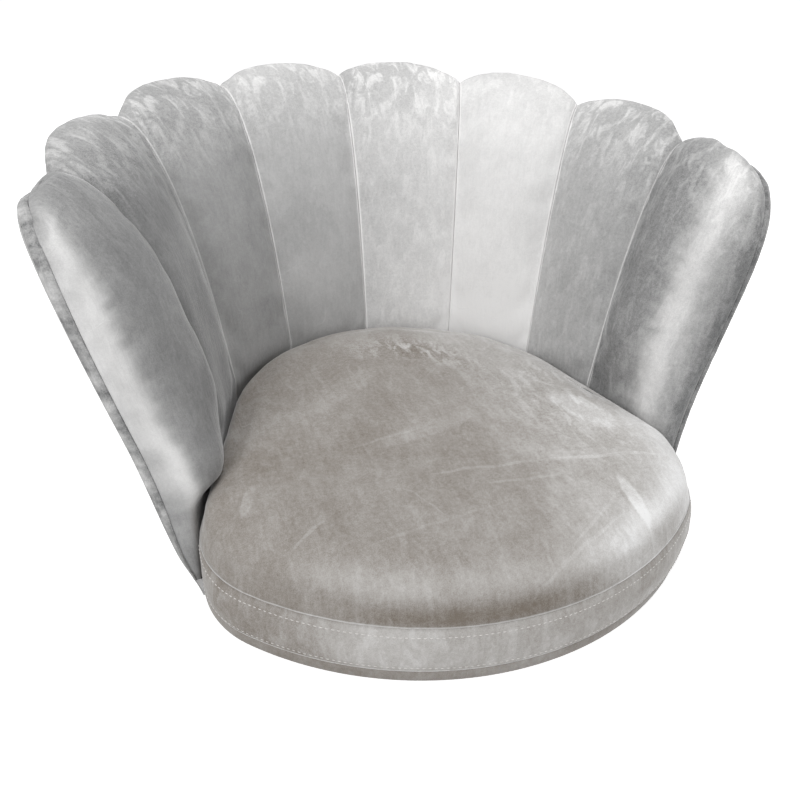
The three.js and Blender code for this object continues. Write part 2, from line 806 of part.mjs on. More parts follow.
// Upright plywood rib in the plane of a valley
function ribGeometry(line) {
  const top = line.top - ribTopDrop
  const turned = line.skew * ribThickness / 2
  const edge = (sectionAt, share, depth) => {
    const point = sectionAt(line, share)
    const across = acrossSection(line, sectionAt, share)
    const outward = across.x * line.out.x + across.y * line.out.y
    return point.add(new THREE.Vector2(outward, across.z).multiplyScalar(depth))
  }
  const upTo = (points) => {
    const below = points.filter((point) => point.y < top)
    const last = below[below.length - 1]
    const next = points[below.length]
    return [...below, last.clone().lerp(next, (top - last.y) / (next.y - last.y))]
  }
  const inner = upTo(padRows.slice(0, -1).map((v) => edge(innerSection, v, -ribFront - seamFoam(v) - turned)))
  const outerShares = [outerFootShare(line), ...panelRowShares.slice(1)]
  const outer = upTo(outerShares.map((w) => edge(outerSection, w, fabric + gap + turned)))
  inner[0].y = boardTop + gap
  outer[0].y = boardTop + gap
  const shape = new THREE.Shape([...inner.reverse(), ...outer])
  const geometry = new THREE.ExtrudeGeometry(shape, { depth: ribThickness, bevelEnabled: false })
  const out = new THREE.Vector3(line.out.x, line.out.y, 0)
  const up = new THREE.Vector3(0, 0, 1)
  const aside = new THREE.Vector3().crossVectors(out, up)
  geometry.translate(0, 0, -ribThickness / 2)
  const placed = new THREE.Matrix4().makeBasis(out, up, aside)
  geometry.applyMatrix4(placed.setPosition(line.foot.x, line.foot.y, 0))
  return geometry
}

// Share of the outer seam at the board's top
function outerFootShare(line) {
  let low = 0
  let high = 1
  for (let step = 0; step < halvings; step += 1) {
    const middle = (low + high) / 2
    if (outerSection(line, middle).y < boardTop + gap) low = middle
    else high = middle
  }
  return high
}

function addRibs() {
  for (const k of valleys) addMesh(`back_rib_${k + armIndex}`, ribGeometry(valley(k)), 'plywood')
}

// Elastic webbing across the ribs, on the same grid as the foam
function addWebbing() {
  const columns = [...Array((petalCount - 2) * petalColumns + 1).keys()]
  const across = shares(petalColumns, padCrowding)
  const at = (column, v, depth) => {
    const petal = Math.min(Math.floor(column / petalColumns), petalCount - 3)
    const k = petal - lastValley
    const u = across[column - petal * petalColumns]
    return padLayer(k, u, v, -(skin + foamDepth(k, u, v) + depth))
  }
  webbingRows.forEach((row, index) => {
    addMesh(`back_webbing_${index + 1}`, sheetSolid(
      (column, v) => at(column, v, webbingClearance),
      (column, v) => at(column, v, webbingClearance + webbingThickness),
      columns, [padRows[row], padRows[row + 1]],
    ), 'webbing')
  })
}

// Steel hoop: up the left arm, over the rib tops with a rise in each scallop, down the right arm
function hoopPoints() {
  const points = []
  const onRib = (k) => {
    const line = valley(k)
    const height = line.top - ribTopDrop + gap + hoopRadius
    return inPlane(line, new THREE.Vector2(line.reach - hoopSetIn, height))
  }
  for (let k = -lastValley; k < lastValley; k += 1) {
    for (let step = 0; step < hoopSteps; step += 1) {
      const u = step / hoopSteps
      const lift = 0.5 - 0.5 * Math.cos(2 * Math.PI * u)
      const point = onRib(k).lerp(onRib(k + 1), u)
      point.addScaledVector(outwardOf(k), bowOut(k, u, 0, 1) + scallopReach * lift)
      point.z += scallopRise * lift
      points.push(point)
    }
  }
  points.push(onRib(lastValley))
  return points
}

function armHoopPoints(k, flip) {
  const points = hoopRoute.map(([across, w]) => outerLayer(k, flip ? 1 - across : across, w, hoopArmDepth))
  points[points.length - 1].z = boardTop + hoopEndLift
  return points
}

function addHoop() {
  const rightArm = armHoopPoints(armIndex - 1, false)
  const leftArm = armHoopPoints(-armIndex, true).reverse()
  const curve = new THREE.CatmullRomCurve3([...leftArm, ...hoopPoints(), ...rightArm])
  const section = new THREE.Shape(arcPoints(backCentre, hoopRadius, 0, 2 * Math.PI, 6))
  const geometry = new THREE.ExtrudeGeometry(section, { steps: 96, extrudePath: curve })
  addMesh('rim_hoop', geometry, 'steel')
}

// Boxing strip along the front edge of each arm, between the pad's cover and the outside panel.
// It ends just below the velvet that turns down over the rim.
function addBoxing() {
  const seamRoom = fabric + boxingClearance
  const top = padRows.length - 1
  for (const side of [-1, 1]) {
    const onEdge = (across, t, depth) => {
      const inset = THREE.MathUtils.lerp(seamRoom, armWidthAt(t) - skin, across)
      return armEdge(side, t)
        .addScaledVector(armInward(side, t), inset)
        .addScaledVector(armForward(side, t), boxingStandOut - depth)
    }
    const at = (across, row, depth) => {
      if (row < top) return onEdge(across, armShare(padRows[row]), depth)
      const end = onEdge(across, armShare(padRows[row]), depth - boxingEndLift / boxingEndShare)
      return onEdge(across, armShare(padRows[row - 1]), depth).lerp(end, boxingEndShare)
    }
    const across = (u) => (side < 0 ? u : 1 - u)
    addMesh(`arm_boxing_${side < 0 ? 'left' : 'right'}`, sheetSolid(
      (u, row) => at(across(u), row, 0),
      (u, row) => at(across(u), row, fabric),
      [0, 1], [...padRows.keys()].slice(1), side < 0,
    ), 'velvet')
  }
}

// Direction out of the arm's front edge, square to the edge and to the boxing's width
function armForward(side, t) {
  const tangent = armEdge(side, Math.min(t + tiny, 1)).sub(armEdge(side, Math.min(t, 1 - tiny)))
  return new THREE.Vector3().crossVectors(tangent, armInward(side, t)).multiplyScalar(side).normalize()
}

addBase()
addFrontStrip()
addRibs()
addWebbing()
addHoop()
addPetals()
addOuterPanels()
addBoxing()
addSeat()

export default chair
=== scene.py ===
import itertools
import json
import math

import bpy
import numpy as np
from mathutils import Matrix, Vector

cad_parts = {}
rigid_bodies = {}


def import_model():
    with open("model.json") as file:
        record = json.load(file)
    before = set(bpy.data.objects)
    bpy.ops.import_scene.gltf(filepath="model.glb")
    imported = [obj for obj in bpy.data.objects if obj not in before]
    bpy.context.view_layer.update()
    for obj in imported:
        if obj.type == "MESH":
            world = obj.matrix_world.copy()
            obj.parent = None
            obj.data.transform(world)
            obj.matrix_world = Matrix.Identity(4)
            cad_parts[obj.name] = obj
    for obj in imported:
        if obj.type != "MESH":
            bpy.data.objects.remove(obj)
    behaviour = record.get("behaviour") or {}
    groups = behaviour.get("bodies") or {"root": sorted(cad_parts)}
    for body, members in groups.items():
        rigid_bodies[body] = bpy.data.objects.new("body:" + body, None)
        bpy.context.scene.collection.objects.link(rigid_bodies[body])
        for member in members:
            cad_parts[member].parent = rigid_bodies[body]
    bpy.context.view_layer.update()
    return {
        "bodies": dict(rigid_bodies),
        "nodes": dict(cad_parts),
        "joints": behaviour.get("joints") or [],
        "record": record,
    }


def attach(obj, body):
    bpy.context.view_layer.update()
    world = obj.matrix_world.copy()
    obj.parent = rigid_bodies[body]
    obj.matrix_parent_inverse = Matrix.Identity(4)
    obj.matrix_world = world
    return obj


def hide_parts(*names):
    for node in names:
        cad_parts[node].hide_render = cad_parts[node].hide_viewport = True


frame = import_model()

# Lengths are in millimetres, with the origin on the underside below the middle of the seat's round
# back and the chair facing -Y. MM turns them into metres where a mesh is made.
MM = 0.001

# Clearances and stuffs
GAP = 0.3
FABRIC = 1.5
SKIN = FABRIC + GAP

# Plan of the body
BACK_RADIUS = 312
FRONT_RADIUS = 390
FRONT_CENTRE_Y = 21
CORNER_RADIUS = 131

# Base
BOARD_TOP = 18.1
HEM_BOTTOM = 1.3
HEM_WIDTH = 24

# Seat
SEAT_INSET = 1
SEAT_BACK_RADIUS = 261
SEAM_HEIGHT = 76
CROWN_RISE = 47
CROWN_RUN_SIDE = 24
CROWN_RUN_FRONT = 62
DOME_RISE = 8
BORDER_SWELL_FRONT = 6
SWELL_PEAK_SHARE = 0.4
SEAT_CENTRE_Y = -60
SEAT_CENTRE_INSET = 300
FRONT_START = 120
FRONT_FULL = 250

# Inside of the tub
PETALS = 8
FOOT_RADIUS = 271
FOOT_HEIGHT = 112
FOOT_TUCK = 1.5
FOOT_STEP = math.radians(29.9)
RIM_RADIUS = 415
RIM_CENTRE_Y = 50
RIM_HEIGHT = 479
RIM_SIDE_DROP = 48
RIM_STEP = math.radians(28.4)
INNER_CURVE = ((0.117, 0.292), (0.464, 1.041))

# Outside of the tub
OUTER_CURVE = ((0.1, 0.36), (1.0, 0.74))
RIM_LAP = 8
OUTER_SWELL = 7

# Front edge of each arm
ARM_FOOT = np.array((314, -169, 1.3))
ARM_LOW = np.array((366, -70, 130))
ARM_HIGH = np.array((418, -149, 368))
ARM_TOP = np.array((433, -74, 420))
ARM_EDGE_WIDTH = 15
ARM_FOOT_WIDTH = 3.6
ARM_FOOT_SHARE = 0.3
BOXING_STAND_OUT = 2.8

# What is uneven on this chair, by the number of a seam or a pad, or by an arm's side, -1 for the left:
# how far a seam's top sags, how much more an arm pad swells over the seat and where, how much higher the
# seat is filled behind, and how far an arm's top corner and its low front edge lie off
SEAM_SAG = {-3: 13}
FOOT_SWELL = {-4: 26}
FOOT_SWELL_UP = (0.04, 0.13)
FOOT_SWELL_ACROSS = (0.4, 0.34)
SEAT_SWELL = 6
ARM_TOP_SHIFT = {-1: (-2, -3, 8), 1: (-3, 0, -3)}
ARM_TOP_SHIFT_START = 0.7
ARM_LOW_SHIFT = {-1: (-5, -4, 0), 1: (0, 0, 0)}
ARM_LOW_SHIFT_PEAK = 0.12
ARM_LOW_SHIFT_END = 0.4

# Padding
PETAL_PUFF = {"low": 1, "foot": 7, "middle": 16, "rim": 14}
ARM_PUFF = {"middle": 44, "rim": 24}
SEAT_CLEARANCE = 1
ARM_BLEND_SHARE = 0.28
PAD_MIDDLE = 0.5
FOOT_EASE = 2.5
PILLOW_FULLNESS = 2.4
CLOSING_FULLNESS = 12
FOAM_BACK = 14
FOAM_BACK_AT_RIM = 5
FOAM_BACK_AT_ARM_EDGE = 4
RIM_START = 0.5
SCALLOP_RISE = 17
SCALLOP_REACH = 19
SCALLOP_FULLNESS = 2.4
SCALLOP_SKEW = {-3: 0.62}
SCALLOP_EXTRA = {-3: 5}
ARM_SCALLOP_RISE = 12
ARM_SCALLOP_REACH = 11

TINY = 1e-3
LAST_VALLEY = PETALS // 2 - 1
ARM_INDEX = PETALS // 2
PETAL_NUMBERS = range(-ARM_INDEX, ARM_INDEX)


# Small helpers on arrays

def lerp(a, b, t):
    return a + (b - a) * t


def smooth(low, high, value):
    t = np.clip((np.asarray(value, float) - low) / (high - low), 0, 1)
    return t * t * (3 - 2 * t)


def bell(value, middle, width):
    return np.exp(-((value - middle) / width) ** 2)


def bezier(a, b, c, d, t):
    s = 1 - t
    return s ** 3 * a + 3 * s * s * t * b + 3 * s * t * t * c + t ** 3 * d


def unit(vectors):
    return vectors / np.linalg.norm(vectors, axis=-1, keepdims=True)


def steps_along(grid, axis):
    """Distances between the neighbours of a grid of points along one of its axes."""
    return np.linalg.norm(np.diff(grid, axis=axis), axis=-1)


def lengths_along(path):
    """How far along a path each of its points lies."""
    return np.concatenate(((0,), np.cumsum(steps_along(path, 0))))


def rounded(value, fullness):
    """Falls from 1 at nought to 0 at one, the later the higher the fullness."""
    return np.sqrt(np.maximum(0, 1 - value ** fullness))


def noise(points, size, seed):
    """Smooth noise from -1 to 1 at points of any dimension, with features of about that size."""
    points = np.asarray(points, float) / size
    dimension = points.shape[-1]
    cells = 32
    lattice = np.random.default_rng(seed).uniform(-1, 1, (cells,) * dimension)
    low = np.floor(points).astype(int)
    part = points - low
    part = part * part * (3 - 2 * part)
    total = np.zeros(points.shape[:-1])
    for corner in itertools.product((0, 1), repeat=dimension):
        weight = np.prod(np.where(corner, part, 1 - part), axis=-1)
        index = tuple(np.moveaxis((low + corner) % cells, -1, 0))
        total += weight * lattice[index]
    return total


def swells(points, layers, seeds):
    """Layers of smooth noise, each with its height and the size of its features."""
    return sum(height * noise(points, size, seed) for (height, size), seed in zip(layers, seeds))


# Seam lines of the tub

def valley(k):
    foot = FOOT_RADIUS * np.array((math.sin(k * FOOT_STEP), math.cos(k * FOOT_STEP)))
    rim = RIM_RADIUS * np.array((math.sin(k * RIM_STEP), math.cos(k * RIM_STEP)))
    rim[1] += RIM_CENTRE_Y
    reach = np.linalg.norm(rim - foot)
    out = (rim - foot) / reach
    along = foot @ out
    base = math.sqrt(along ** 2 - FOOT_RADIUS ** 2 + BACK_RADIUS ** 2) - along
    top = RIM_HEIGHT - RIM_SIDE_DROP * (1 - math.cos(k * RIM_STEP))
    return {"foot": foot, "out": out, "reach": reach, "top": top, "base": base, "sag": SEAM_SAG.get(k, 0)}


def inner_section(line, v):
    (low_reach, low_rise), (high_reach, high_rise) = INNER_CURVE
    up = np.maximum(v, 0)
    down = np.maximum(-v, 0)
    distance = line["reach"] * bezier(0, low_reach, high_reach, 1, up) + FOOT_TUCK * down
    height = FOOT_HEIGHT + (line["top"] - FOOT_HEIGHT) * bezier(0, low_rise, high_rise, 1, up)
    height = lerp(height, BOARD_TOP + GAP, down)
    return distance, height - line["sag"] * smooth(RIM_START, 1, v)


def outer_section(line, w):
    (low_reach, low_rise), (high_reach, high_rise) = OUTER_CURVE
    distance = line["base"] + (line["reach"] - line["base"]) * bezier(0, low_reach, high_reach, 1, w)
    top = line["top"] - RIM_LAP - GAP
    height = HEM_BOTTOM + (top - HEM_BOTTOM) * bezier(0, low_rise, high_rise, 1, w)
    return distance, height - line["sag"] * smooth(RIM_START, 1, w)


def in_plane(line, section_at, share):
    distance, height = section_at(line, share)
    x = line["foot"][0] + line["out"][0] * distance
    y = line["foot"][1] + line["out"][1] * distance
    return np.stack((x, y, height), axis=-1)


def across_section(line, section_at, share):
    after = section_at(line, np.minimum(share + TINY, 1))
    before = section_at(line, np.minimum(share, 1 - TINY))
    distance = after[0] - before[0]
    height = after[1] - before[1]
    length = np.hypot(distance, height)
    x = -height / length * line["out"][0]
    y = -height / length * line["out"][1]
    return np.stack((x, y, distance / length), axis=-1)


def arm_edge(side, t):
    t = np.asarray(t, float)[..., None]
    edge = bezier(ARM_FOOT, ARM_LOW, ARM_HIGH, ARM_TOP, t) * (side, 1, 1)
    low_shift = np.array(ARM_LOW_SHIFT[int(side)]) * smooth(0, ARM_LOW_SHIFT_PEAK, t)
    edge = edge + low_shift * smooth(ARM_LOW_SHIFT_END, ARM_LOW_SHIFT_PEAK, t)
    return edge + np.array(ARM_TOP_SHIFT[int(side)]) * smooth(ARM_TOP_SHIFT_START, 1, t)


def arm_share_at(height):
    low, high = 0.0, 1.0
    for _ in range(40):
        middle = (low + high) / 2
        if arm_edge(1, middle)[2] < height:
            low = middle
        else:
            high = middle
    return low


ARM_AT_BOARD = arm_share_at(BOARD_TOP + GAP)
ARM_AT_FOOT = arm_share_at(FOOT_HEIGHT)


def arm_share(v):
    below = ARM_AT_FOOT + (ARM_AT_FOOT - ARM_AT_BOARD) * v
    return np.where(v < 0, below, ARM_AT_FOOT + (1 - ARM_AT_FOOT) * v)


def seam_share(t):
    span = np.where(t < ARM_AT_FOOT, ARM_AT_FOOT - ARM_AT_BOARD, 1 - ARM_AT_FOOT)
    return np.maximum((t - ARM_AT_FOOT) / span, -1)


def arm_tangent(side, t):
    return unit(arm_edge(side, np.minimum(t + TINY, 1)) - arm_edge(side, np.minimum(t, 1 - TINY)))


def arm_inward(side, t):
    line = valley(side * LAST_VALLEY)
    across = in_plane(line, inner_section, seam_share(t)) - arm_edge(side, t)
    return unit(np.cross(arm_tangent(side, t), across) * side)


def arm_width(t):
    return lerp(ARM_FOOT_WIDTH, ARM_EDGE_WIDTH, smooth(0, ARM_FOOT_SHARE, t))


def is_valley(k):
    return abs(k) <= LAST_VALLEY


def inward_at(k, v):
    if is_valley(k):
        return across_section(valley(k), inner_section, v)
    return arm_inward(np.sign(k), arm_share(v))


def inner_seam(k, v):
    if is_valley(k):
        return in_plane(valley(k), inner_section, v)
    side = np.sign(k)
    t = arm_share(v)
    return arm_edge(side, t) + arm_inward(side, t) * arm_width(t)[..., None]


def outer_inward_at(k, w):
    if is_valley(k):
        return across_section(valley(k), outer_section, w)
    return arm_inward(np.sign(k), w)


def outer_seam(k, w):
    if is_valley(k):
        return in_plane(valley(k), outer_section, w)
    return arm_edge(np.sign(k), w)


# Surfaces between two seam lines

def pillow(u):
    return rounded(np.abs(2 * u - 1), PILLOW_FULLNESS)


def is_arm(k):
    return k in (-ARM_INDEX, ARM_INDEX - 1)


def outward_of(k):
    middle = (k + 0.5) * RIM_STEP
    return np.array((math.sin(middle), math.cos(middle), 0))


def bow(radius, step):
    return radius * (1 - math.cos(step / 2))


def bow_out(k, u, low, share):
    if is_arm(k):
        return np.zeros_like(u)
    return lerp(low, bow(RIM_RADIUS, RIM_STEP), np.maximum(share, 0)) * 4 * u * (1 - u)


def scallop(k, u, share):
    across = 2 * u ** SCALLOP_SKEW.get(k, 1) - 1
    lift = np.maximum(0, 1 - np.abs(across) ** SCALLOP_FULLNESS) * smooth(RIM_START, 1, share)
    rise = ARM_SCALLOP_RISE if is_arm(k) else SCALLOP_RISE + SCALLOP_EXTRA.get(k, 0)
    reach = ARM_SCALLOP_REACH if is_arm(k) else SCALLOP_REACH
    outward = outward_of(k) * reach + (0, 0, rise)
    return lift[..., None] * outward


def across_pad(at, k, u, *height):
    """What lies a share u of the way across pad k, from what its two seams have at that height."""
    share = u[..., None]
    return at(k, *height) * (1 - share) + at(k + 1, *height) * share


def pad_layer(k, u, v, height):
    inward = unit(across_pad(inward_at, k, u, v))
    point = across_pad(inner_seam, k, u, v)
    point += bow_out(k, u, bow(FOOT_RADIUS, FOOT_STEP), v)[..., None] * outward_of(k)
    return point + scallop(k, u, v) + inward * height[..., None]


def outer_layer(k, u, w, depth):
    inward = unit(across_pad(outer_inward_at, k, u, w))
    swell = OUTER_SWELL * pillow(u) * np.sqrt(np.sin(math.pi * np.clip(w, 0, 1)))
    point = across_pad(outer_seam, k, u, w)
    point += (bow_out(k, u, bow(BACK_RADIUS, FOOT_STEP), w) + swell)[..., None] * outward_of(k)
    return point + scallop(k, u, w) + inward * depth[..., None]


# Plan outlines

def arc_points(centre, radius, start, end, steps):
    angles = np.linspace(start, end, steps, endpoint=False)
    return np.stack((np.cos(angles), np.sin(angles)), axis=-1) * radius + centre


CORNER_X = BACK_RADIUS - CORNER_RADIUS
CORNER_DROP = math.sqrt((FRONT_RADIUS - CORNER_RADIUS) ** 2 - CORNER_X ** 2)
CORNER_CENTRE = np.array((CORNER_X, FRONT_CENTRE_Y - CORNER_DROP))
FRONT_HALF_ANGLE = math.atan2(CORNER_X, FRONT_CENTRE_Y - CORNER_CENTRE[1])
FRONT_CENTRE = np.array((0, FRONT_CENTRE_Y))


def front_and_corner(inset, corner_end, steps):
    join = FRONT_HALF_ANGLE - math.pi / 2
    return np.concatenate((
        arc_points(FRONT_CENTRE, FRONT_RADIUS - inset, -math.pi / 2, join, steps),
        arc_points(CORNER_CENTRE, CORNER_RADIUS - inset, join, corner_end, steps),
    ))


def close_outline(half):
    return np.concatenate((half, (half[1:-1] * (-1, 1))[::-1]))


def seat_outline(steps):
    corner = CORNER_RADIUS - SEAT_INSET
    turn = math.acos((SEAT_BACK_RADIUS - corner) / np.linalg.norm(CORNER_CENTRE))
    side = math.atan2(CORNER_CENTRE[1], CORNER_CENTRE[0]) + turn
    direction = np.array((math.cos(side), math.sin(side)))
    line = np.linspace(0, 1, steps // 3, endpoint=False)[:, None]
    return close_outline(np.concatenate((
        front_and_corner(SEAT_INSET, side, steps),
        lerp(direction * corner + CORNER_CENTRE, direction * SEAT_BACK_RADIUS, line),
        arc_points((0, 0), SEAT_BACK_RADIUS, side, math.pi / 2, steps),
        np.array(((0, SEAT_BACK_RADIUS),)),
    )))


SEAT_EDGE = seat_outline(30)


def seat_distance(points, directions):
    """Level distance from points beside the seat to its outline, along their directions."""
    start = SEAT_EDGE
    side = np.roll(SEAT_EDGE, -1, axis=0) - start
    from_x = start[:, 0] - points[..., 0, None]
    from_y = start[:, 1] - points[..., 1, None]
    x = directions[..., 0, None]
    y = directions[..., 1, None]
    turn = x * side[:, 1] - y * side[:, 0]
    turn = np.where(np.abs(turn) < 1e-9, 1e-9, turn)
    share = (from_x * y - from_y * x) / turn
    distance = (from_x * side[:, 1] - from_y * side[:, 0]) / turn
    met = (share >= 0) & (share <= 1) & (distance > 0)
    return np.where(met, distance, np.inf).min(axis=-1)


def puff(k, u, v):
    depth = ARM_PUFF if is_arm(k) else PETAL_PUFF
    closing = rounded(np.maximum(v, 0), CLOSING_FULLNESS)
    upper = lerp(depth["middle"], depth["rim"], smooth(PAD_MIDDLE, 1, v)) * pillow(u) * closing
    if not is_arm(k):
        above = lerp(depth["foot"] * pillow(u), upper, smooth(0, PAD_MIDDLE, v))
        below = lerp(depth["low"], depth["foot"], smooth(-1, 0, v) ** FOOT_EASE) * pillow(u)
        return np.where(v > 0, above, below)
    low = np.minimum(v, 0)
    start = across_pad(inner_seam, k, u, low)
    inward = unit(across_pad(inward_at, k, u, low))
    room = (seat_distance(start, inward) - SEAT_CLEARANCE) * rounded(np.abs(2 * u - 1), CLOSING_FULLNESS)
    swell = FOOT_SWELL.get(k, 0) * bell(v, *FOOT_SWELL_UP) * bell(u, *FOOT_SWELL_ACROSS) * pillow(u)
    return lerp(room, upper, smooth(0, ARM_BLEND_SHARE, v)) + swell


def seam_foam(v):
    return lerp(FOAM_BACK, FOAM_BACK_AT_RIM, np.maximum(v, 0) ** 3)


def foam_depth(k, u, v):
    def at_seam(index):
        return seam_foam(v) if is_valley(index) else FOAM_BACK_AT_ARM_EDGE * smooth(-1, 0.2, v)
    return lerp(at_seam(k), at_seam(k + 1), u)


def level_inward_at(k):
    if is_valley(k):
        out = valley(k)["out"]
        return np.array((-out[0], -out[1], 0))
    return np.array((-np.sign(k), 0, 0))


def level_inward(k, u):
    return unit(across_pad(level_inward_at, k, u))


# Meshes

def crowded(count):
    """Shares from 0 to 1, closer together towards both ends."""
    return 0.5 - 0.5 * np.cos(np.linspace(0, math.pi, count + 1))


def normals_of(grid):
    along = np.gradient(grid, axis=1)
    up = np.gradient(grid, axis=0)
    return unit(np.cross(along, up) + 1e-12)


# What the velvet knows of each point: how light it is, partly by its nap and partly painted light and shade,
# how crushed it is, both from 0 to 1, and how far off the nearest seam is, in metres
NAP_AND_LIGHT_DEFAULTS = {"nap_tone": 0.5, "nap_crush": 0.3, "seam_distance": 1.0}


def make_object(name, points, faces, material, nap=None):
    """A smooth mesh piece, with values of NAP_AND_LIGHT_DEFAULTS for each of its points."""
    mesh = bpy.data.meshes.new(name)
    mesh.from_pydata((np.asarray(points) * MM).tolist(), [], faces)
    mesh.update()
    mesh.polygons.foreach_set("use_smooth", [True] * len(mesh.polygons))
    for key, default in NAP_AND_LIGHT_DEFAULTS.items():
        values = np.full(len(points), default)
        given = (nap or {}).get(key)
        if given is not None:
            values[:given.size] = given.ravel()
            values[given.size:2 * given.size] = given.ravel()[:len(points) - given.size]
        mesh.attributes.new(key, "FLOAT", "POINT").data.foreach_set("value", values)
    mesh.materials.append(material)
    piece = bpy.data.objects.new(name, mesh)
    bpy.context.scene.collection.objects.link(piece)
    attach(piece, "root")
    return piece


def lay_nap(piece, flat):
    """Gives the piece its map of the nap, from a flat place in millimetres for each of its points."""
    loops = np.empty(len(piece.data.loops), np.int32)
    piece.data.loops.foreach_get("vertex_index", loops)
    piece.data.uv_layers.new(name="nap").data.foreach_set("uv", (flat * MM)[loops].ravel())


def sheet_faces(rows, columns):
    index = np.arange(rows * columns).reshape(rows, columns)
    a, b = index[:-1, :-1].ravel(), index[:-1, 1:].ravel()
    c, d = index[1:, 1:].ravel(), index[1:, :-1].ravel()
    front = np.stack((a, b, c, d), axis=-1)
    count = rows * columns
    rim = np.concatenate((index[0, :-1], index[:-1, -1], index[-1, :0:-1], index[:0:-1, 0]))
    after = np.roll(rim, -1)
    side = np.stack((after, rim, rim + count, after + count), axis=-1)
    return np.concatenate((front, front[:, ::-1] + count, side)).tolist()


def sheet_object(name, face, back, material, nap=None):
    """A closed piece between two grids of points, where face looks out."""
    rows, columns = face.shape[:2]
    points = np.concatenate((face.reshape(-1, 3), back.reshape(-1, 3)))
    piece = make_object(name, points, sheet_faces(rows, columns), material, nap)
    across = np.concatenate((np.zeros((rows, 1)), np.cumsum(steps_along(face, 1), axis=1)), axis=1)
    across -= across[:, -1:] / 2
    up = np.concatenate((np.zeros((1, columns)), np.cumsum(steps_along(face, 0), axis=0)))
    flat = np.stack((across, up), axis=-1).reshape(-1, 2)
    lay_nap(piece, np.concatenate((flat, flat)))
    return piece


# Materials

class Nodes:
    """The node tree of a new material or world, with short calls for what these use."""

    def __init__(self, owner, shader="Principled BSDF"):
        owner.use_nodes = True
        self.owner = owner
        self.tree = owner.node_tree
        self.shader = self.tree.nodes[shader]

    def add(self, kind, inputs=(), **settings):
        node = self.tree.nodes.new(kind)
        for key, value in settings.items():
            setattr(node, key, value)
        for key, value in dict(inputs).items():
            self.put(node.inputs[key], value)
        return node

    def put(self, socket, value):
        if isinstance(value, bpy.types.NodeSocket):
            self.tree.links.new(value, socket)
        else:
            socket.default_value = value

    def place(self):
        return self.add("ShaderNodeTexCoord").outputs["Object"]

    def noise(self, vector, scale, detail=2.0, roughness=0.5, distortion=0.0):
        names = ("Vector", "Scale", "Detail", "Roughness", "Distortion")
        values = (vector, scale, detail, roughness, distortion)
        return self.add("ShaderNodeTexNoise", zip(names, values)).outputs["Fac"]

    def scaled(self, vector, scale, location=(0, 0, 0), rotation=(0, 0, 0)):
        node = self.add("ShaderNodeMapping", {
            "Vector": vector, "Scale": scale, "Location": location, "Rotation": rotation,
        })
        return node.outputs["Vector"]

    def vector(self, operation, inputs, output="Vector"):
        return self.add("ShaderNodeVectorMath", inputs, operation=operation).outputs[output]

    def math(self, operation, a, b=0.0, clamp=False):
        node = self.add("ShaderNodeMath", operation=operation, use_clamp=clamp)
        self.put(node.inputs[0], a)
        self.put(node.inputs[1], b)
        return node.outputs[0]

    def centred(self, value):
        return self.math("SUBTRACT", value, 0.5)

    def added(self, total, value, share, clamp=False):
        return self.math("ADD", total, self.math("MULTIPLY", value, share), clamp)

    def between(self, value, low, high, to_low=0.0, to_high=1.0):
        node = self.add("ShaderNodeMapRange", {
            "Value": value, "From Min": low, "From Max": high, "To Min": to_low, "To Max": to_high,
        }, interpolation_type="SMOOTHSTEP")
        return node.outputs["Result"]

    def mix(self, factor, a, b, blend_type="MIX"):
        node = self.add("ShaderNodeMix", data_type="RGBA", blend_type=blend_type)
        self.put(node.inputs[0], factor)
        self.put(node.inputs[6], a)
        self.put(node.inputs[7], b)
        return node.outputs[2]

    def bump(self, height, strength, distance, normal=None):
        inputs = {"Height": height, "Strength": strength, "Distance": distance}
        if normal is not None:
            inputs["Normal"] = normal
        return self.add("ShaderNodeBump", inputs).outputs["Normal"]

    def set(self, **sockets):
        for key, value in sockets.items():
            self.put(self.shader.inputs[key.replace("_", " ")], value)


def grey(value, warmth=0.0):
    """A grey of that brightness in linear light, warmer above nought and cooler below it."""
    return (value * (1 + warmth), value, value * (1 - warmth), 1)


# Share of a mark of the hand that has its full strength, and how far its edge is bent, in metres
MARK_CORE = 0.6
MARK_BEND = 0.012

# Where the painted highlight lies beside a seam, where the pile's edge catches the light, in metres from it:
# from none to full, and from full to none
SEAM_HIGHLIGHT_RISE = (0.0003, 0.0010)
SEAM_HIGHLIGHT_FALL = (0.0018, 0.0032)

# How much lighter the nap lies where it is crushed and along a pressed line, and how much the painted
# highlight beside a seam adds
CRUSHED_GAIN = 0.17
LINE_GAIN = 0.045
SEAM_HIGHLIGHT_GAIN = 0.4


def mark_factor(nodes, flat, mark):
    """Where a mark of the hand lies on the nap: an ellipse with a soft edge."""
    x, y, angle, half_length, half_width, strength = mark
    near = nodes.add("ShaderNodeMapping", {
        "Vector": flat, "Location": (x * MM, y * MM, 0), "Rotation": (0, 0, math.radians(angle)),
        "Scale": (half_length * MM, half_width * MM, 1),
    }, vector_type="TEXTURE").outputs["Vector"]
    distance = nodes.vector("LENGTH", {0: near}, "Value")
    return nodes.between(distance, MARK_CORE, 1.0, strength, 0.0)


